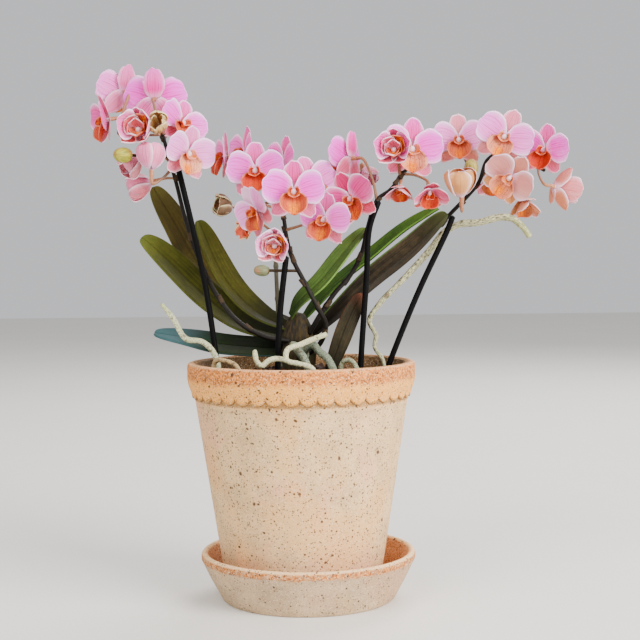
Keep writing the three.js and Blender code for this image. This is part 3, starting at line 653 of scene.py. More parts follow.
for node, (routes, thick, green, skin, shade) in ROOTS.items():
    shape = bmesh.new()
    for number, route in enumerate(routes):
        path = Path(route)

        def root_size(u):
            trunk = thick[0] + (thick[1] - thick[0]) * min(1, 1.6 * u)
            lumps = 1 + 0.13 * waver(u * path.length * 0.16, number * 5.0, thick[0] * 7)
            return trunk * lumps - ROOT_TIP_NARROWS * max(0, u - 1 + ROOT_TIP) / ROOT_TIP

        rolled(shape, path, root_size, 14, int(path.length / 1.6))
    finish = root_finish(node + "_skin", skin, shade, green)
    dressed(node + "_skin", outward(shape), [finish], node)

# Crown
# The short thick base of the plant between bark and leaves, wrapped in the brown and green feet of its
# old leaves. All the leaves, the thick roots and the flower stems come out of it.
CROWN_X = -5
crown_outline = [(0, 122), (5, 122), (6.2, 128), (7.5, 134), (8.6, 139), (9.5, 144), (10.2, 152), (8.6, 156),
                 (9.4, 160), (7.4, 168), (5.2, 172.4), (3.5, 175), (0, 176)]
crown_shape = spun(crown_outline, 56)
bmesh.ops.subdivide_edges(crown_shape, edges=[edge for edge in crown_shape.edges
                          if abs(edge.verts[0].co.z - edge.verts[1].co.z) > 3 * MM], cuts=3)
for point in crown_shape.verts:
    turn = atan2(point.co.y, point.co.x)
    height = point.co.z / MM
    fold = 0.05 * sin(turn * 3 + height * 0.22) + 0.03 * sin(turn * 17 + height * 0.1)
    rough = 0.05 * waver(cos(turn) * 3, sin(turn) * 3, height * 0.15)
    point.co.x *= 1.05 * (1 + fold + rough)
    point.co.y *= 0.75 * (1 + fold + rough)
moved(crown_shape, CROWN_X)
husk = Finish("old_leaf_feet", 0.25)
rib = husk.cloud(700, 4, where=husk.stretched(husk.spot, (1, 1, 0.12)))
husk.grained(rib, (0.35, 0.68), ((20, 15, 9), (64, 52, 28)),
             [(husk.blotches(80, 3, 0.48, 0.66, 0, 0.7), (46, 50, 20))], (0.6, 0.9), 0.6)
dressed("crown_foot", crown_shape, [husk], "crown")

# Leaves
# Eight leathery leaves, folded along the midrib, that lean away to both sides. Each is smooth and a
# little glossy above with fine lengthwise veins, and duller and browner below.
LEAF_THICKNESS = 1.5
LEAF_ROWS = 44
LEAF_COLUMNS = 14

# Each leaf: its spine, width and fold, the way its upper side looks at foot and tip, its tones when
# fresh, deep, below and at the tip, and where its foot's shade ends and its tip's tone starts and is full.
LEAVES = {
    # leaf_left_low's tip tone is a painted blue-green sheen, laid over its outer part and along its margins.
    "leaf_left_low": ([(-6, 4, 152), (-28, 9, 153), (-52, 13, 155), (-73, 14, 159), (-95, 12, 163)], 28,
        0.1, [(0.1, -0.5, 0.85), (0.1, -0.3, 0.95)], (32, 46, 16), (22, 25, 8), (36, 40, 22), (54, 86, 90),
        (0.24, 0.34, 0.68)),
    "leaf_left_long": ([(-9, 4, 159), (-38, 9, 167), (-55, 16, 178), (-69, 19, 190), (-81, 20, 202),
        (-93, 20, 214), (-103, 20, 223)], 26, 0.25, [(0.2, -0.45, 0.85), (0.5, -0.7, 0.6)], (80, 80, 26),
        (52, 54, 18), (70, 68, 30), (88, 98, 38), (0.5, 0.55, 1)),
    "leaf_left_mid": ([(-9, 2, 165), (-26, 6, 172), (-39, 10, 182), (-50, 12, 195), (-57, 12, 208),
        (-63, 12, 223), (-67, 12, 233)], 22, 0.3, [(0.2, -0.45, 0.85), (0.7, -0.6, 0.45)], (76, 74, 24),
        (46, 46, 16), (66, 64, 28), (80, 88, 34), (0.5, 0.55, 1)),
    "leaf_left_back": ([(-5, 9, 165), (-13, 26, 167), (-29, 38, 171), (-44, 43, 179), (-60, 44, 193),
        (-73, 42, 210), (-84, 38, 231), (-97, 32, 255)], 25, 0.2, [(0.3, -0.4, 0.85), (0.5, -0.8, 0.4)],
        (76, 68, 28), (52, 44, 22), (78, 60, 32), (76, 74, 32), (0.4, 0.55, 1)),
    "leaf_right_front": ([(-9, -4, 173), (-4, -9, 182), (9, -12, 194), (24, -6, 212), (37, 3, 227)], 16,
        0.25, [(-0.5, -0.6, 0.6), (-0.6, -0.6, 0.5)], (88, 116, 50), (60, 84, 38), (60, 84, 34),
        (104, 134, 62), (0.24, 0.55, 1)),
    # leaf_right_mid's tone below is near black: its underside is painted with the shade that falls on it.
    "leaf_right_mid": ([(-1, 5, 171), (18, 14, 190), (40, 16, 207), (62, 16, 225), (83, 13, 239)], 24, 0.3,
        [(-0.5, -0.24, 0.8), (-0.55, -0.2, 0.8)], (76, 112, 34), (44, 72, 26), (20, 22, 14), (88, 126, 44),
        (0.24, 0.55, 1)),
    "leaf_right_back": ([(2, 1, 160), (24, 7, 179), (46, 10, 198), (68, 11, 216), (88, 11, 236)], 24, 0.2,
        [(-0.4, 0.5, 0.75), (-0.5, 0.6, 0.6)], (66, 94, 38), (42, 62, 28), (48, 40, 28), (78, 104, 46),
        (0.3, 0.55, 1)),
    "leaf_right_small": ([(13, -13, 138), (21, -12, 160), (27, -8, 174), (34, -4, 187)], 12, 0.3,
        [(0.4, -0.9, 0.1), (0.4, -0.9, 0.2)], (52, 46, 30), (30, 26, 18), (52, 44, 32), (98, 56, 40),
        (0.24, 0.55, 1)),
}


def leaf_finish(name, fresh, deep, tip, veins, reach):
    made = Finish(name, 0.06, 0.05)
    foot_ends, tip_starts, tip_full = reach
    along, aside = made.along(), made.aside()
    lines = made.streaks(veins, 1.3, 1.0, 4, 0.6)
    rib = made.step(aside, 0.006, 0.035, 1, 0)
    made.grained(made.cloud(48, 4, 0.6), (0.3, 0.7), (deep, fresh),
                 [(made.step(lines, 0.45, 0.7, 0, 0.5), shaded(fresh, 1.25, 6)),
                  (made.step(lines, 0.3, 0.46, 0.6, 0), shaded(deep, 0.6)),
                  (made.blotches(420, 4, 0.42, 0.62, 0, 0.4, 0.7), deep),
                  (made.step(along, tip_starts, tip_full, 0, 0.85), tip),
                  # Painted shade: each leaf darkens towards its foot at the crown.
                  (made.step(along, foot_ends * 0.15, foot_ends, 0.88, 0), shaded(deep, 0.55)),
                  (made.times(rib, 0.5), shaded(fresh, 0.55)),
                  (made.step(aside, 0.475, 0.5, 0, 0.3), shaded(tip, 1.1, 6))],
                 (0.6, 0.78), 0.45, made.sum("SUBTRACT", made.times(lines, 0.35), rib), 0.8)
    return made


def span(u, rise, fall, neck):
    """Width of a leaf or tepal along its length, 1 at the widest, drawn in to a round tip."""
    widest = rise / (rise + fall)
    peak = widest ** rise * (1 - widest) ** fall
    return max(u ** rise * (1 - u) ** fall / peak, neck * (1 - u))


def sheet(shape, rows, columns, place, marks=None):
    """Adds a thin sheet to a shape: a grid whose points go to place(u, v), with numbers marked on it."""
    made = bmesh.ops.create_grid(shape, x_segments=columns, y_segments=rows, size=0.5, calc_uvs=True)
    for point in made["verts"]:
        u, v = point.co.y + 0.5, point.co.x * 2
        point.co = place(u, v) * MM
        for layer, value in (marks or {}).items():
            point[layer] = value
    return made["verts"]


def leaf_place(spine, width, fold, face):
    path = Path(spine)
    face_base, face_tip = [Vector(side) for side in face]
    sway = spine[1][0] * 0.37

    def place(row, v):
        u = min(0.9999, sin(row * pi / 2))
        heading = path.ahead(u)
        up = face_base.lerp(face_tip, u)
        side = heading.cross(up).normalized()
        normal = side.cross(heading)
        half = width / 2 * span(u, 0.42, 0.36, 0.42)
        wave = 0.9 * waver(u * 3.2, v * 0.8, sway) * abs(v) * sin(pi * u)
        return (path.at(u) + side * half * v
                + normal * (fold * half * hypot(v, 0.15) + wave - 0.35 * bulge(v, 0, 0.09)))

    return place


for node, (spine, width, fold, face, fresh, deep, under, tip, reach) in LEAVES.items():
    shape = bmesh.new()
    shape.loops.layers.uv.verify()
    sheet(shape, LEAF_ROWS, LEAF_COLUMNS, leaf_place(spine, width, fold, face))
    welded(shape, 0.01)
    upper = leaf_finish(node + "_upper", fresh, deep, tip, 46, reach)
    under_tip = tuple(part * 0.5 + other * 0.6 for part, other in zip(tip, under))
    lower = leaf_finish(node + "_under", shaded(under, 1.3), shaded(under, 0.5), under_tip, 26, reach)
    leaf = dressed(node + "_blade", shape, [upper, lower], node)
    skin = leaf.modifiers.new("thickness", "SOLIDIFY")
    skin.thickness = LEAF_THICKNESS * MM
    skin.offset = 0
    skin.material_offset = 1
    smooth = leaf.modifiers.new("rounding", "SUBSURF")
    smooth.levels = smooth.render_levels = 1

# Flower stems
# Four wiry dark stems, each rising along its stake, with swollen joints and a small dry scale at every
# joint. Short pinkish stalks leave them for the blooms.
STEM_RADIUS = 1.6
STALK_RADIUS = 0.9
COLUMN_BACK = 4.6
STALK_ARRIVES = 4
STALK_SINKS = 1
STALK_STOPS = 0.3
STEMS = {
    "stem_a": [(-8, -3, 158), (-26, -10, 162), (-41, -11, 171), (-53, -6, 185), (-62, 1, 201), (-68, 1, 216),
               (-74, 0, 236), (-78, -2, 254), (-82, -4, 270), (-86, -5, 285), (-90, -3, 299)],
    "stem_b": [(1, -3, 150), (9, -11, 158), (12, -17, 169), (7, -22, 180), (0, -24, 194), (-8, -22, 210),
               (-11, -21, 222), (-13, -18, 235), (-18, -12, 247), (-26, -6, 258)],
    "stem_c": [(2, -4, 163), (9, -8, 175), (18, -8, 188), (27, -7, 198), (34, -7, 211), (38, -8, 227),
               (44, -9, 244), (52, -9, 250), (59, -6, 259), (67, 2, 267)],
    "stem_d": [(-2, 4, 160), (14, 20, 176), (36, 28, 192), (58, 28, 207), (78, 24, 222), (92, 18, 237),
               (101, 6, 247), (107, 0, 255), (112, 0, 268), (123, 4, 273), (138, 11, 268), (149, 12, 262)],
}
STEM_THINS = 0.3
JOINTS = (0.16, 0.3, 0.43, 0.55)
JOINT_SWELLS = 0.32

# Each bloom: its middle, the way it faces (turn, nod, lean), its size, how far its sepals and petals
# stand open, how far up the stem its stalk leaves, how pale, warm, rosy and creamy its tepals are, how
# pale, red and creamy its lip is, how much it closes again, and a bend of the stalk.
Bloom = namedtuple("Bloom", "at face size sepals petals leaves tints lip closing bend",
                   defaults=[0, (0, 0, 0)])
BLOOMS = {label: Bloom(*row) for label, row in {
    "a1": ((-93, 17, 309), (180, -8, 0), 1.12, 96, 88, 0.98, (0, 0, 0.05, 0), (0, 0, 0)),
    "a2": ((-114, 29, 315), (-150, -10, -6), 1, 95, 88, 0.96, (0.25, 0.05, 0.15, 0), (0, 0, 0), 0,
        (-17, 4, -16)),
    "a3": ((-120, 0, 295), (-68, 8, 0), 0.95, 80, 72, 0.94, (0.1, 0.3, 0.45, 0), (0, 0.4, 0)),
    "a4": ((-97, -25, 286), (-14, -12, 0), 0.95, 80, 74, 0.92, (0.35, 0.4, 0.12, 0), (0.3, 0.4, 0), 0.9),
    "a6": ((-76, 9, 293), (38, -14, 24), 0.95, 88, 82, 0.9, (0.1, 0, 0.1, 0), (0.3, 0.5, 0)),
    "a7": ((-70, -16, 273), (32, 8, 12), 0.95, 86, 80, 0.86, (0.45, 0.05, 0, 0), (0.8, 0, 0)),
    "a10": ((-101, -9, 271), (-50, 40, 0), 0.9, 70, 62, 0.82, (0.35, 0.2, 0, 0.55), (0, 0, 0), 1.2),
    "a8": ((-90, -29, 263), (4, -100, 0), 1.02, 70, 62, 0.8, (0.45, 0.25, 0.12, 0.12), (0, 0, 0), 1.2),
    "a11": ((-96, 8, 257), (-80, 14, 0), 1, 70, 62, 0.76, (0.2, 0.3, 0.08, 0.45), (0, 0, 0), 1.2),
    "b0": ((-48, -1, 272), (-76, 0, 0), 0.9, 90, 84, 0.98, (0.3, 0.1, 0.25, 0), (0, 0.2, 0), 0,
        (0, -7, -5)),
    "b1": ((-37, 13, 275), (-62, -8, 0), 0.95, 90, 84, 0.96, (0.2, 0, 0.2, 0), (0, 0, 0)),
    "b2": ((-29, -18, 262), (-6, 2, -2), 1, 92, 90, 0.94, (0.05, 0, 0.05, 0), (0, 0.8, 0)),
    "b3": ((-13, 4, 269), (-55, -8, 6), 0.9, 90, 86, 0.86, (0.15, 0, 0.2, 0), (0, 0, 0), 0, (8, 4, -6)),
    "b4": ((-6, -48, 248), (3, 2, 1), 1.02, 92, 90, 0.78, (0, 0, 0, 0), (0, 0, 0)),
    "b5": ((3, -10, 254), (20, -4, -14), 1, 90, 88, 0.82, (0.25, 0, 0.1, 0), (0, 0, 0)),
    "b6": ((12, -40, 232), (-22, 8, 10), 0.92, 94, 96, 0.7, (0.1, 0.05, 0, 0), (0, 0.15, 0)),
    "b7": ((-28, -36, 238), (-50, 14, -30), 0.92, 86, 82, 0.76, (0.5, 0.1, 0.05, 0), (0, 0.1, 0)),
    "b9": ((-17, -44, 217), (-8, 6, 8), 0.88, 76, 70, 0.66, (0.65, 0.15, 0.05, 0.05), (0.2, 0, 0), 0.8),
    "c1": ((28, 2, 270), (-124, -3, -8), 1, 90, 84, 0.72, (0, 0, 0.1, 0), (0, 0, 0)),
    "c2": ((28, -20, 245), (-24, 10, -24), 1, 84, 80, 0.66, (0, 0.3, 0.6, 0), (0.2, 0.5, 0)),
    "c3": ((38, 20, 264), (24, 40, 0), 0.75, 70, 62, 0.66, (0.75, 0.2, 0, 0.35), (0, 0, 0), 1.1,
        (0, 6, -8)),
    "c4": ((54, -22, 273), (-12, -10, 0), 0.9, 80, 74, 0.88, (0.2, 0.2, 0.3, 0), (0, 0.35, 0), 0.8),
    "c5": ((65, -6, 275), (10, 2, 6), 1.1, 92, 90, 0.97, (0, 0, 0, 0), (0.6, 0, 0)),
    "c6": ((75, -16, 249), (10, 50, 0), 0.75, 70, 60, 0.9, (0.1, 0.7, 0.3, 0.1), (0, 0.8, 0)),
    "c7": ((58, -8, 252), (-20, 66, 0), 0.66, 62, 52, 0.84, (0.2, 0.5, 0.2, 0.5), (0, 0.5, 0)),
    "d1": ((95, 6, 281), (-4, -4, -2), 0.95, 90, 88, 0.72, (0.35, 0.05, 0, 0.05), (0.1, 0.3, 0.5)),
    "d2": ((121, -12, 281), (-10, -2, 24), 1, 92, 90, 0.84, (0.25, 0.05, 0, 0), (0.4, 0, 0.4)),
    "d3": ((147, 0, 274), (-28, 2, 10), 0.92, 90, 90, 0.98, (0, 0, 0.15, 0), (0, 0.9, 0)),
    "d4": ((122, -30, 256), (-24, 18, 45), 0.95, 80, 76, 0.82, (0.25, 0.02, 0, 0.78), (0.3, 0, 0.5)),
    "d6": ((94, -20, 246), (-12, -76, 40), 1.08, 70, 62, 0.64, (0.4, 0.1, 0, 1), (0, 0, 0), 1.1),
    "d7": ((135, 6, 244), (20, 60, 0), 0.75, 60, 44, 0.88, (0, 0.2, 0, 0.9), (0, 0, 1)),
    "d8": ((153, -4, 251), (120, 8, -20), 0.9, 66, 58, 0.98, (0.15, 0.25, 0.2, 0.65), (0, 0, 0)),
    "d9": ((114, -6, 258), (-20, 56, 0), 0.8, 50, 40, 0.7, (0.1, 0.3, 0.3, 0.5), (0, 0, 0.8)),
    "a5": ((-86, -14, 288), (-10, -24, 0), 0.72, 66, 58, 0.95, (0, 0, 0, 0.2), (0, 0, 0), 1),
    "b8": ((-33, -13, 229), (-56, 24, -40), 0.55, 50, 46, 0.6, (0, 1, 0.1, 0), (0, 0.4, 0)),
    "b10": ((-45, -2, 241), (-58, -8, 0), 0.72, 70, 60, 0.86, (0, 0, 0, 1), (0, 0, 0), 1),
}.items()}
WITHERED = ("a5", "b8", "b10")
BUDS = {
    "a9": ((-107, -29, 271), 4.8, 1.2, 0.84, (104, 112, 20), (178, 168, 52)),
    "b11": ((-26, -22, 202), 3.6, 1.3, 0.5, (84, 92, 62), (132, 138, 100)),
    "d5": ((101, -10, 263), 4.5, 1.2, 0.7, (116, 108, 44), (190, 172, 90)),
}


def facing(bloom):
    """The turn of a bloom, which by itself faces the front with its top up."""
    yaw, pitch, roll = [radians(angle) for angle in bloom.face]
    return (Matrix.Rotation(yaw, 3, "Z") @ Matrix.Rotation(pitch, 3, "X") @ Matrix.Rotation(roll, 3, "Y"))


stem = Finish("stem_skin", 0.18)
stem.grained(stem.streaks(16, 4, 3, 4), (0.35, 0.7), ((11, 9, 8), (30, 23, 17)),
             [(stem.blotches(55, 3, 0.5, 0.7, 0, 0.5), (30, 30, 16))], (0.4, 0.65), 0.2)
stalk = Finish("stalk_skin", 0.35, 0.1, 1.0)
stalk.grained(stalk.streaks(12, 6, 3, 4), (0.3, 0.7), ((92, 62, 42), (158, 116, 80)),
              [(stalk.step(stalk.along(), 0.4, 1.0, 0, 0.7), (176, 116, 84))], (0.4, 0.6), 0.15)
papery = Finish("dry_scale", 0.2)
papery.grained(papery.streaks(18, 2, 2, 4), (0.3, 0.7), ((30, 22, 15), (74, 57, 38)), (), (0.65, 0.9), 0.2)


def joint_scale(shape, path, share, turn, size):
    """Adds the pointed dry scale that clasps a stem at a joint."""
    foot, heading = path.at(share), path.ahead(share)
    out = Matrix.Rotation(turn, 3, heading) @ heading.orthogonal().normalized()
    side = heading.cross(out)
    points = sheet(shape, 6, 6, lambda u, v: foot + heading * (5.2 * u * size - 1)
                   + (out * cos(1.5 * v) + side * sin(1.5 * v))
                   * (STEM_RADIUS + 0.15 + 0.9 * u * size) * (1 - 0.75 * abs(v) * u ** 1.5))
    faces = list({face for point in points for face in point.link_faces})
    bmesh.ops.solidify(shape, geom=faces, thickness=0.35 * MM)


for node, points in STEMS.items():
    letter = node[-1]
    path = Path(points)
    shape = bmesh.new()
    rolled(shape, path, lambda u: STEM_RADIUS * (1 - STEM_THINS * u) + JOINT_SWELLS * sum(
        bulge(u, joint, 0.008) for joint in JOINTS), 12, 150)
    dressed(node + "_stalk", outward(shape), [stem], node)

    scales, stalks = bmesh.new(), bmesh.new()
    for shape in (scales, stalks):
        shape.loops.layers.uv.verify()
    for number, joint in enumerate(JOINTS):
        joint_scale(scales, path, joint, number * 2.4 + ord(letter), 1)
    for label, bloom in BLOOMS.items():
        if label[0] == letter:
            backward = facing(bloom) @ Vector((0, 1, 0))
            reach = -STALK_SINKS if label in WITHERED else STALK_STOPS
            end = Vector(bloom.at) + backward * (COLUMN_BACK * bloom.size + reach)
            near = end + backward * STALK_ARRIVES
            start = path.at(bloom.leaves)
            middle = start.lerp(near, 0.5) + backward * STALK_ARRIVES / 2 + Vector(bloom.bend)
            rolled(stalks, Path([start, middle, near, end]),
                   lambda u: STALK_RADIUS * (1.15 - 0.3 * sin(pi * u) + 0.2 * u ** 6), 8, 22)
            joint_scale(scales, path, min(bloom.leaves, 0.97), ord(label[1]) * 1.9, 0.7)
    for label, (at, radius, long, leaves, *tones) in BUDS.items():
        if label[0] == letter:
            start = path.at(leaves)
            rolled(scales, Path([start, start.lerp(Vector(at), 0.5), at]), lambda u: STALK_RADIUS, 8, 12)
    dressed(node + "_scales", outward(scales), [papery], node)
    dressed(node + "_pedicels", outward(stalks), [stalk], node)

# Buds
# Three plump buds that haven't opened, yellow-green with pink blotches and three shallow seams between
# the sepals. Each sits on the end of its own short stalk.


def bud_finish(name, green, pale):
    made = Finish(name, 0.3, 0.1)
    made.grained(made.streaks(14, 1.2, 2, 4), (0.35, 0.65), (green, pale),
                 [(made.blotches(160, 3, 0.5, 0.7, 0, 0.4), (200, 110, 74)),
                  (made.step(made.along(), 0.0, 0.3, 0.6, 0), shaded(green, 0.8))], (0.4, 0.6), 0.25)
    return made


for label, (at, radius, long, leaves, green, pale) in BUDS.items():
    start = Path(STEMS["stem_" + label[0]]).at(leaves)
    heading = (Vector(at) - start).normalized()
    one = heading.orthogonal().normalized()
    other = heading.cross(one)
    rings = []
    for row in range(25):
        u = row / 24
        width = radius * sin(pi * u) ** 0.72 * (1.1 - 0.28 * u)
        middle = Vector(at) + heading * radius * long * (1 - cos(pi * u) - 1)
        rings.append((middle, one, other, width))
    shape = bmesh.new()
    wrapped(shape, 30, rings)
    for point in shape.verts:
        away = point.co / MM - Vector(at)
        turn = atan2(away.dot(other), away.dot(one))
        seam = max(0, cos(turn * 3)) ** 10
        point.co -= (away - heading * away.dot(heading)) * 0.09 * seam * MM
    finish = bud_finish("bud_" + label + "_skin", green, pale)
    dressed("bud_" + label, outward(shape), [finish], "stem_" + label[0])

# Blooms
# Three sepals behind, two broad round petals, a bowl-shaped orange lip and a white column in each
# bloom. The tepals are thin and soft, pink with fine veins and a white rim, and ripple at the edge.
Tepal = namedtuple("Tepal", "length width rise fall cup curl back")
SEPAL = Tepal(16, 12.4, 0.5, 0.46, 0.1, 0.15, 1.3)
LATERAL = Tepal(16.5, 11.6, 0.46, 0.52, 0.1, 0.2, 1.3)
PETAL = Tepal(16.6, 19.5, 0.62, 0.36, 0.05, 0.2, -0.6)
LIP = Tepal(13, 16.4, 0.42, 0.28, 0.6, 0.3, -1.6)
SIDE_LOBE = Tepal(7, 7.4, 0.45, 0.4, 0.35, 0.7, -1.2)
INNER_FOLD = Tepal(11.5, 14, 0.5, 0.32, 0.5, 1.0, -1.4)
SIDE_LOBE_TURN = 114
SIDE_LOBE_OPEN = 50
LIP_OPEN = 78
LIP_SHOWS = 45
LIP_DRAWN_IN = 0.66
CLOSING_ROLLS = 0.4
COLUMN_LENGTH = 8
CALLUS_AT = Vector((0, -3.4, -3.2))
CALLUS_SIZES = (1.3, 1.2, 0.9)
TEPAL_START = 0.4
TEPAL_NECK = 0.14
TEPAL_THICKNESS = 0.6
TINTS = ("pale", "warm", "rosy", "cream")
SEPAL_STAINS = (0, 0.02, 0.22, 0)
LATERAL_STAINS = (0.05, 0.55, 0.05, 0.1)
TOP_SEPAL_STAINS = {
    "a1": (0, 0, 0.1, 0), "b4": (0, 0.02, 0.6, 0), "c2": (0, 0.3, 0.7, 0), "d1": (0.15, 0.45, 0, 0.15),
    "d2": (0.1, 0.5, 0, 0.1), "b7": (0.5, 0, 0, 0), "c4": (0, 0.2, 0.4, 0),
}
LOWER_SEPAL_STAINS = {
    "a1": (0.2, 0.1, 0.1, 0), "a2": (0.2, 0.25, 0.1, 0), "d1": (0, 0.4, 0, 0.6), "d2": (0, 0.3, 0, 0.5),
    "d4": (0.1, 0.1, 0, 0.8),
}
INNER_FOLD_STAINS = (0.3, 0.5, 0, 0)


def tepal_place(kind, turn, opened, closing, size, ripple, seed):
    """Where a tepal's points lie on a bloom that faces the front. The less open, the more it rolls."""
    angle, around = radians(opened), radians(turn)
    shut = 1 - sin(angle)
    bow = kind.curl + closing

    def place(row, v):
        u = min(0.9995, sin(row * pi / 2))
        lean = angle - bow * u
        out = TEPAL_START + kind.length * (cos(lean) - cos(angle)) / bow
        ahead = kind.length * (sin(angle) - sin(lean)) / bow - kind.back * (1 - 0.6 * shut)
        share = span(u, kind.rise, kind.fall, TEPAL_NECK)
        half, side = kind.width / 2 * (1 - 0.5 * shut) * share, v * share
        lift = (kind.cup + 1.2 * shut + CLOSING_ROLLS * closing) * half * v * v
        swell = 0.05 * kind.length * (1 - side * side) * u ** 3
        swell += ripple * max(abs(v), u) ** 3 * waver(u * 3, side * 2.4, seed)
        swell += 0.5 * waver(u * 1.8, side * 1.5, seed + 9.3)
        swell -= 0.3 * bulge(v, 0, 0.12) * u * (1 - u) * 2
        across = half * v * (1 + 0.05 * waver(u * 3, side * 3, seed + 4.1))
        radial = out - cos(lean) * lift + swell * sin(lean)
        forward = ahead + sin(lean) * lift + swell * cos(lean)
        return Vector((across * cos(around) + radial * sin(around), -forward,
                       radial * cos(around) - across * sin(around))) * size

    return place


POUCH_CLOSING = 1
POUCH = Path([(0.8, 0, -1.2), (3.2, 0, 0.2), (5.9, 0, 3.6), (7.6, 0, 8), (7.0, 0, 11.8), (4.4, 0, 14.2)])


def lapped_place(turn, half_turn, outer, flare, size, ripple, seed):
    """Where a tepal's points lie on a closed bloom, whose tepals lap over each other to a pouch."""

    def place(row, v):
        u = min(0.9995, sin(row * pi / 2))
        spot = POUCH.at(u)
        around = radians(turn + v * half_turn * span(u, 0.3, 0.3, 0.25))
        radius = spot.x + outer + 0.5 * abs(v) ** 4 + flare * u ** 3
        radius += ripple * max(abs(v), u) ** 2 * waver(u * 3, v * 2, seed)
        radius += 0.5 * ripple * waver(u * 2.2, v * 1.6, seed + 5.5)
        forward = spot.z + 0.6 * v * v * (1 - u)
        return Vector((radius * sin(around), -forward, radius * cos(around))) * size

    return place


def tepal_finish(name, deep, light, vein, rim, stains):
    """The skin of a tepal. Its veins fan out along it, and the bloom's own tints are marked on its points."""
    made = Finish(name, 0.25, 0.12)
    along, aside = made.along(), made.aside()
    heart = made.times(made.step(aside, 0.02, 0.4, 0.6, 0), made.step(along, 0.3, 0.95, 1, 0))
    body = made.laid(made.blend(made.step(along, 0.1, 0.8), deep, light),
                     (made.blotches(130, 3, 0.35, 0.7, 0, 0.4), light), (heart, deep),
                     *[(made.mark(layer), stain) for layer, stain in zip(TINTS, stains)],
                     (made.step(along, 0.03, 0.22, 0.6, 0), (248, 206, 238)))
    plain = made.step(made.sum("MAXIMUM", made.mark("pale"), made.mark("cream")), 0.2, 0.9, 1, 0.25)
    fade = made.times(made.step(along, 0.45, 0.95, 1, 0.3), plain)
    for count, width, strength in ((9, 0.035, 0.5), (25, 0.05, 0.32)):
        line = made.sum("SUBTRACT", made.streaks(count, 0.4, 1.0, 1, 0.5, 0.1), 0.5)
        thin = made.step(made.sum("ABSOLUTE", line), width * 0.2, width, strength, 0)
        body = made.blend(made.times(thin, fade), body, vein, "MULTIPLY")
    at_rim = made.sum("MAXIMUM", made.step(aside, 0.45, 0.496), made.step(along, 0.85, 0.96))
    body = made.laid(body, (made.step(aside, 0.28, 0.5, 0, 0.3), rim), (made.times(at_rim, 0.6), rim))
    cell = made.cloud(900, 2)
    made.coated(body, cell, 0.45, 0.62, 0.3, made.sum("ADD", made.times(line, 0.8), made.times(cell, 0.2)))
    return made


FRESH_STAINS = ((246, 196, 232), (226, 92, 84), (206, 40, 112), (200, 138, 82))
petal_finish = tepal_finish("petal_blush", (248, 36, 204), (250, 88, 226), (196, 60, 150), (250, 226, 246),
                            FRESH_STAINS)
sepal_finish = tepal_finish("sepal_blush", (242, 36, 160), (248, 96, 208), (170, 50, 120), (250, 222, 240),
                            FRESH_STAINS)

lip = Finish("lip_orange", 0.12, 0.08)
along, aside = lip.along(), lip.aside()
middle = lip.times(lip.step(aside, 0.05, 0.32, 1, 0), lip.step(along, 0.2, 0.5))
speckle, shade = lip.cells(lip.spot, 900)
shade = lip.part(shade, 0)
pale_dots = lip.times(lip.times(lip.step(speckle, 0.3, 0.5, 0.85, 0), middle), lip.step(shade, 0.5, 0.6))
dark_dots = lip.times(lip.step(speckle, 0.24, 0.42, 0.6, 0), lip.step(shade, 0.36, 0.3))
lines = lip.streaks(22, 1.2, 1.0, 3)
# The brown sides and the bright orange middle are partly the lip's own colours and partly painted shade and
# light in its bowl.
body = lip.laid(
    lip.blend(lip.mark("cream"), (188, 78, 50), (188, 112, 70)), (lip.mark("pale"), (246, 176, 146)),
    (middle, (228, 118, 0)), (pale_dots, (246, 156, 0)), (lip.mark("rosy"), (196, 36, 12)),
    # Painted shade: the throat by the column darkens to red-brown.
    (lip.step(along, 0.0, 0.3, 0.85, 0), (112, 38, 18)), (lip.step(along, 0.72, 0.97, 0, 0.6), (220, 84, 46)),
    (lip.step(lines, 0.5, 0.62, 0, 0.6), (146, 36, 16)), (dark_dots, (130, 30, 10)),
    (lip.step(aside, 0.43, 0.495, 0, 0.55), (244, 150, 122)))
lip.coated(body, lines, 0.46, 0.62, 0.3)

white = Finish("column_white", 0.35, 0.15)
tinge = white.blotches(260, 3, 0.4, 0.68, 0, 0.7)
foot = white.step(white.along(), 0.36, 0.56, 1, 0)
body = white.laid(white.blend(tinge, (238, 214, 222), (236, 176, 202)), (foot, (170, 110, 76)))
white.coated(body, tinge, 0.35, 0.5, 0.1, white.cloud(900, 2))


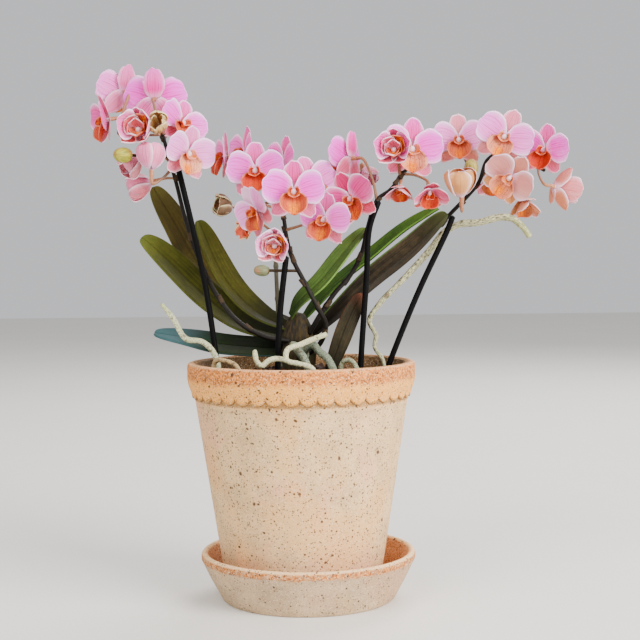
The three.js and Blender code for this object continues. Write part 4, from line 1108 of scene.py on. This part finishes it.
def bloom_shape(label, ripple):
    """A bloom's whole shape. Its faces take the finishes of petals, sepals, lip and column by number."""
    bloom = BLOOMS[label]
    size, closing = bloom.size, bloom.closing
    pale, red, cream = bloom.lip
    of_lip = (pale, 0, red, cream)
    chance = random.Random(label)
    shape = bmesh.new()
    reel = shape.loops.layers.uv.verify()
    layers = [shape.verts.layers.float.new(name) for name in TINTS]

    def stained(stains):
        return [min(1, tint + stain) for tint, stain in zip(bloom.tints, stains)]

    def add(place, rows, columns, finish, shade):
        points = sheet(shape, rows, columns, place, dict(zip(layers, shade)))
        faces = list({face for point in points for face in point.link_faces})
        for part in faces:
            part.material_index = finish
        bmesh.ops.solidify(shape, geom=faces, thickness=TEPAL_THICKNESS * MM)

    none = (0, 0, 0, 0)
    if closing >= POUCH_CLOSING:
        flare = 14 * (1.25 - closing)
        for turn, half_turn, outer, opens, finish in (
                (76, 62, -0.5, 0.3, 0), (-76, 62, -0.9, 0.3, 0), (0, 54, 0.2, 1, 1), (140, 52, 0.3, 0.4, 1),
                (-140, 50, 0.9, 0.6, 1)):
            place = lapped_place(turn, half_turn, outer, flare * opens, size, ripple * 0.6,
                                 chance.uniform(0, 90))
            add(place, 16, 14, finish, stained(none))
    else:
        top_stains = TOP_SEPAL_STAINS.get(label, SEPAL_STAINS)
        lower_stains = LOWER_SEPAL_STAINS.get(label, LATERAL_STAINS)
        for kind, turn, opened, finish, stains in (
                (SEPAL, 0, bloom.sepals, 1, top_stains), (LATERAL, 140, bloom.sepals, 1, lower_stains),
                (LATERAL, -140, bloom.sepals, 1, lower_stains), (PETAL, 76, bloom.petals, 0, none),
                (PETAL, -76, bloom.petals, 0, none)):
            opened += chance.uniform(-2, 2)
            place = tepal_place(kind, turn, opened, closing, size, ripple, chance.uniform(0, 90))
            add(place, 18, 14, finish, stained(stains))
        if bloom.sepals > LIP_SHOWS:
            lip_open = min(LIP_OPEN, bloom.sepals)
            if closing > 0:
                lobes = [(LIP, 180, lip_open * LIP_DRAWN_IN, 0.62, 2), (INNER_FOLD, 44, 78, 1, 2),
                         (INNER_FOLD, -60, 76, 0.96, 1), (INNER_FOLD, 118, 70, 0.86, 2),
                         (INNER_FOLD, -132, 66, 0.84, 1), (INNER_FOLD, 0, 62, 0.8, 1)]
            else:
                lobes = [(LIP, 180, lip_open, 1, 2), (SIDE_LOBE, SIDE_LOBE_TURN, SIDE_LOBE_OPEN, 1, 2),
                         (SIDE_LOBE, -SIDE_LOBE_TURN, SIDE_LOBE_OPEN, 1, 2)]
            for kind, turn, opened, share, finish in lobes:
                place = tepal_place(kind, turn, opened, 0, size * share, ripple * 0.6, chance.uniform(0, 90))
                add(place, 10, 10, finish, of_lip if finish == 2 else stained(INNER_FOLD_STAINS))
            callus = Matrix.Translation(CALLUS_AT * size * MM) @ Matrix.Diagonal((*CALLUS_SIZES, 1))
            made = bmesh.ops.create_icosphere(shape, subdivisions=2, radius=size * MM, matrix=callus)
            for part in {face for point in made["verts"] for face in point.link_faces}:
                part.material_index = 2
                for corner in part.loops:
                    corner[reel].uv = (0.5, 0.5)
    path = Path([(0, COLUMN_BACK * size, 0), (0, 1.5 * size, 0), (0, -1.4 * size, -0.1 * size),
                 (0, (COLUMN_BACK - COLUMN_LENGTH) * size, -0.9 * size)])
    for part in rolled(shape, path, lambda u: size * (1.25 + 0.4 * u + 0.22 * bulge(u, 0.86, 0.1)), 14, 14):
        part.material_index = 3
    welded(shape, 0.002)
    turned = Matrix.Translation(Vector(bloom.at) * MM) @ facing(bloom).to_4x4()
    bmesh.ops.transform(outward(shape), verts=shape.verts, matrix=turned)
    return shape


FRESH_RIPPLE = 1.3
finishes = [petal_finish, sepal_finish, lip, white]
for label in BLOOMS:
    if label not in WITHERED:
        shape = bloom_shape(label, FRESH_RIPPLE)
        dressed("bloom_" + label + "_petals", shape, finishes, "bloom_" + label)

# Withered blooms
# Two blooms that have dried to a cream and brown crumple, and one small orange one that never opened
# far, all still held on their stems.
DRIED_STAINS = ((246, 230, 190), (226, 84, 50), (206, 90, 90), (116, 88, 64))
dried_finish = tepal_finish("petal_dried", (160, 104, 50), (222, 190, 116), (110, 66, 30), (240, 222, 172),
                            DRIED_STAINS)
DRIED_RIPPLE = 3.5
finishes = [dried_finish, dried_finish, lip, dried_finish]
for label in WITHERED:
    shape = bloom_shape(label, DRIED_RIPPLE)
    dressed("bloom_" + label + "_dried", shape, finishes, "stem_" + label[0])
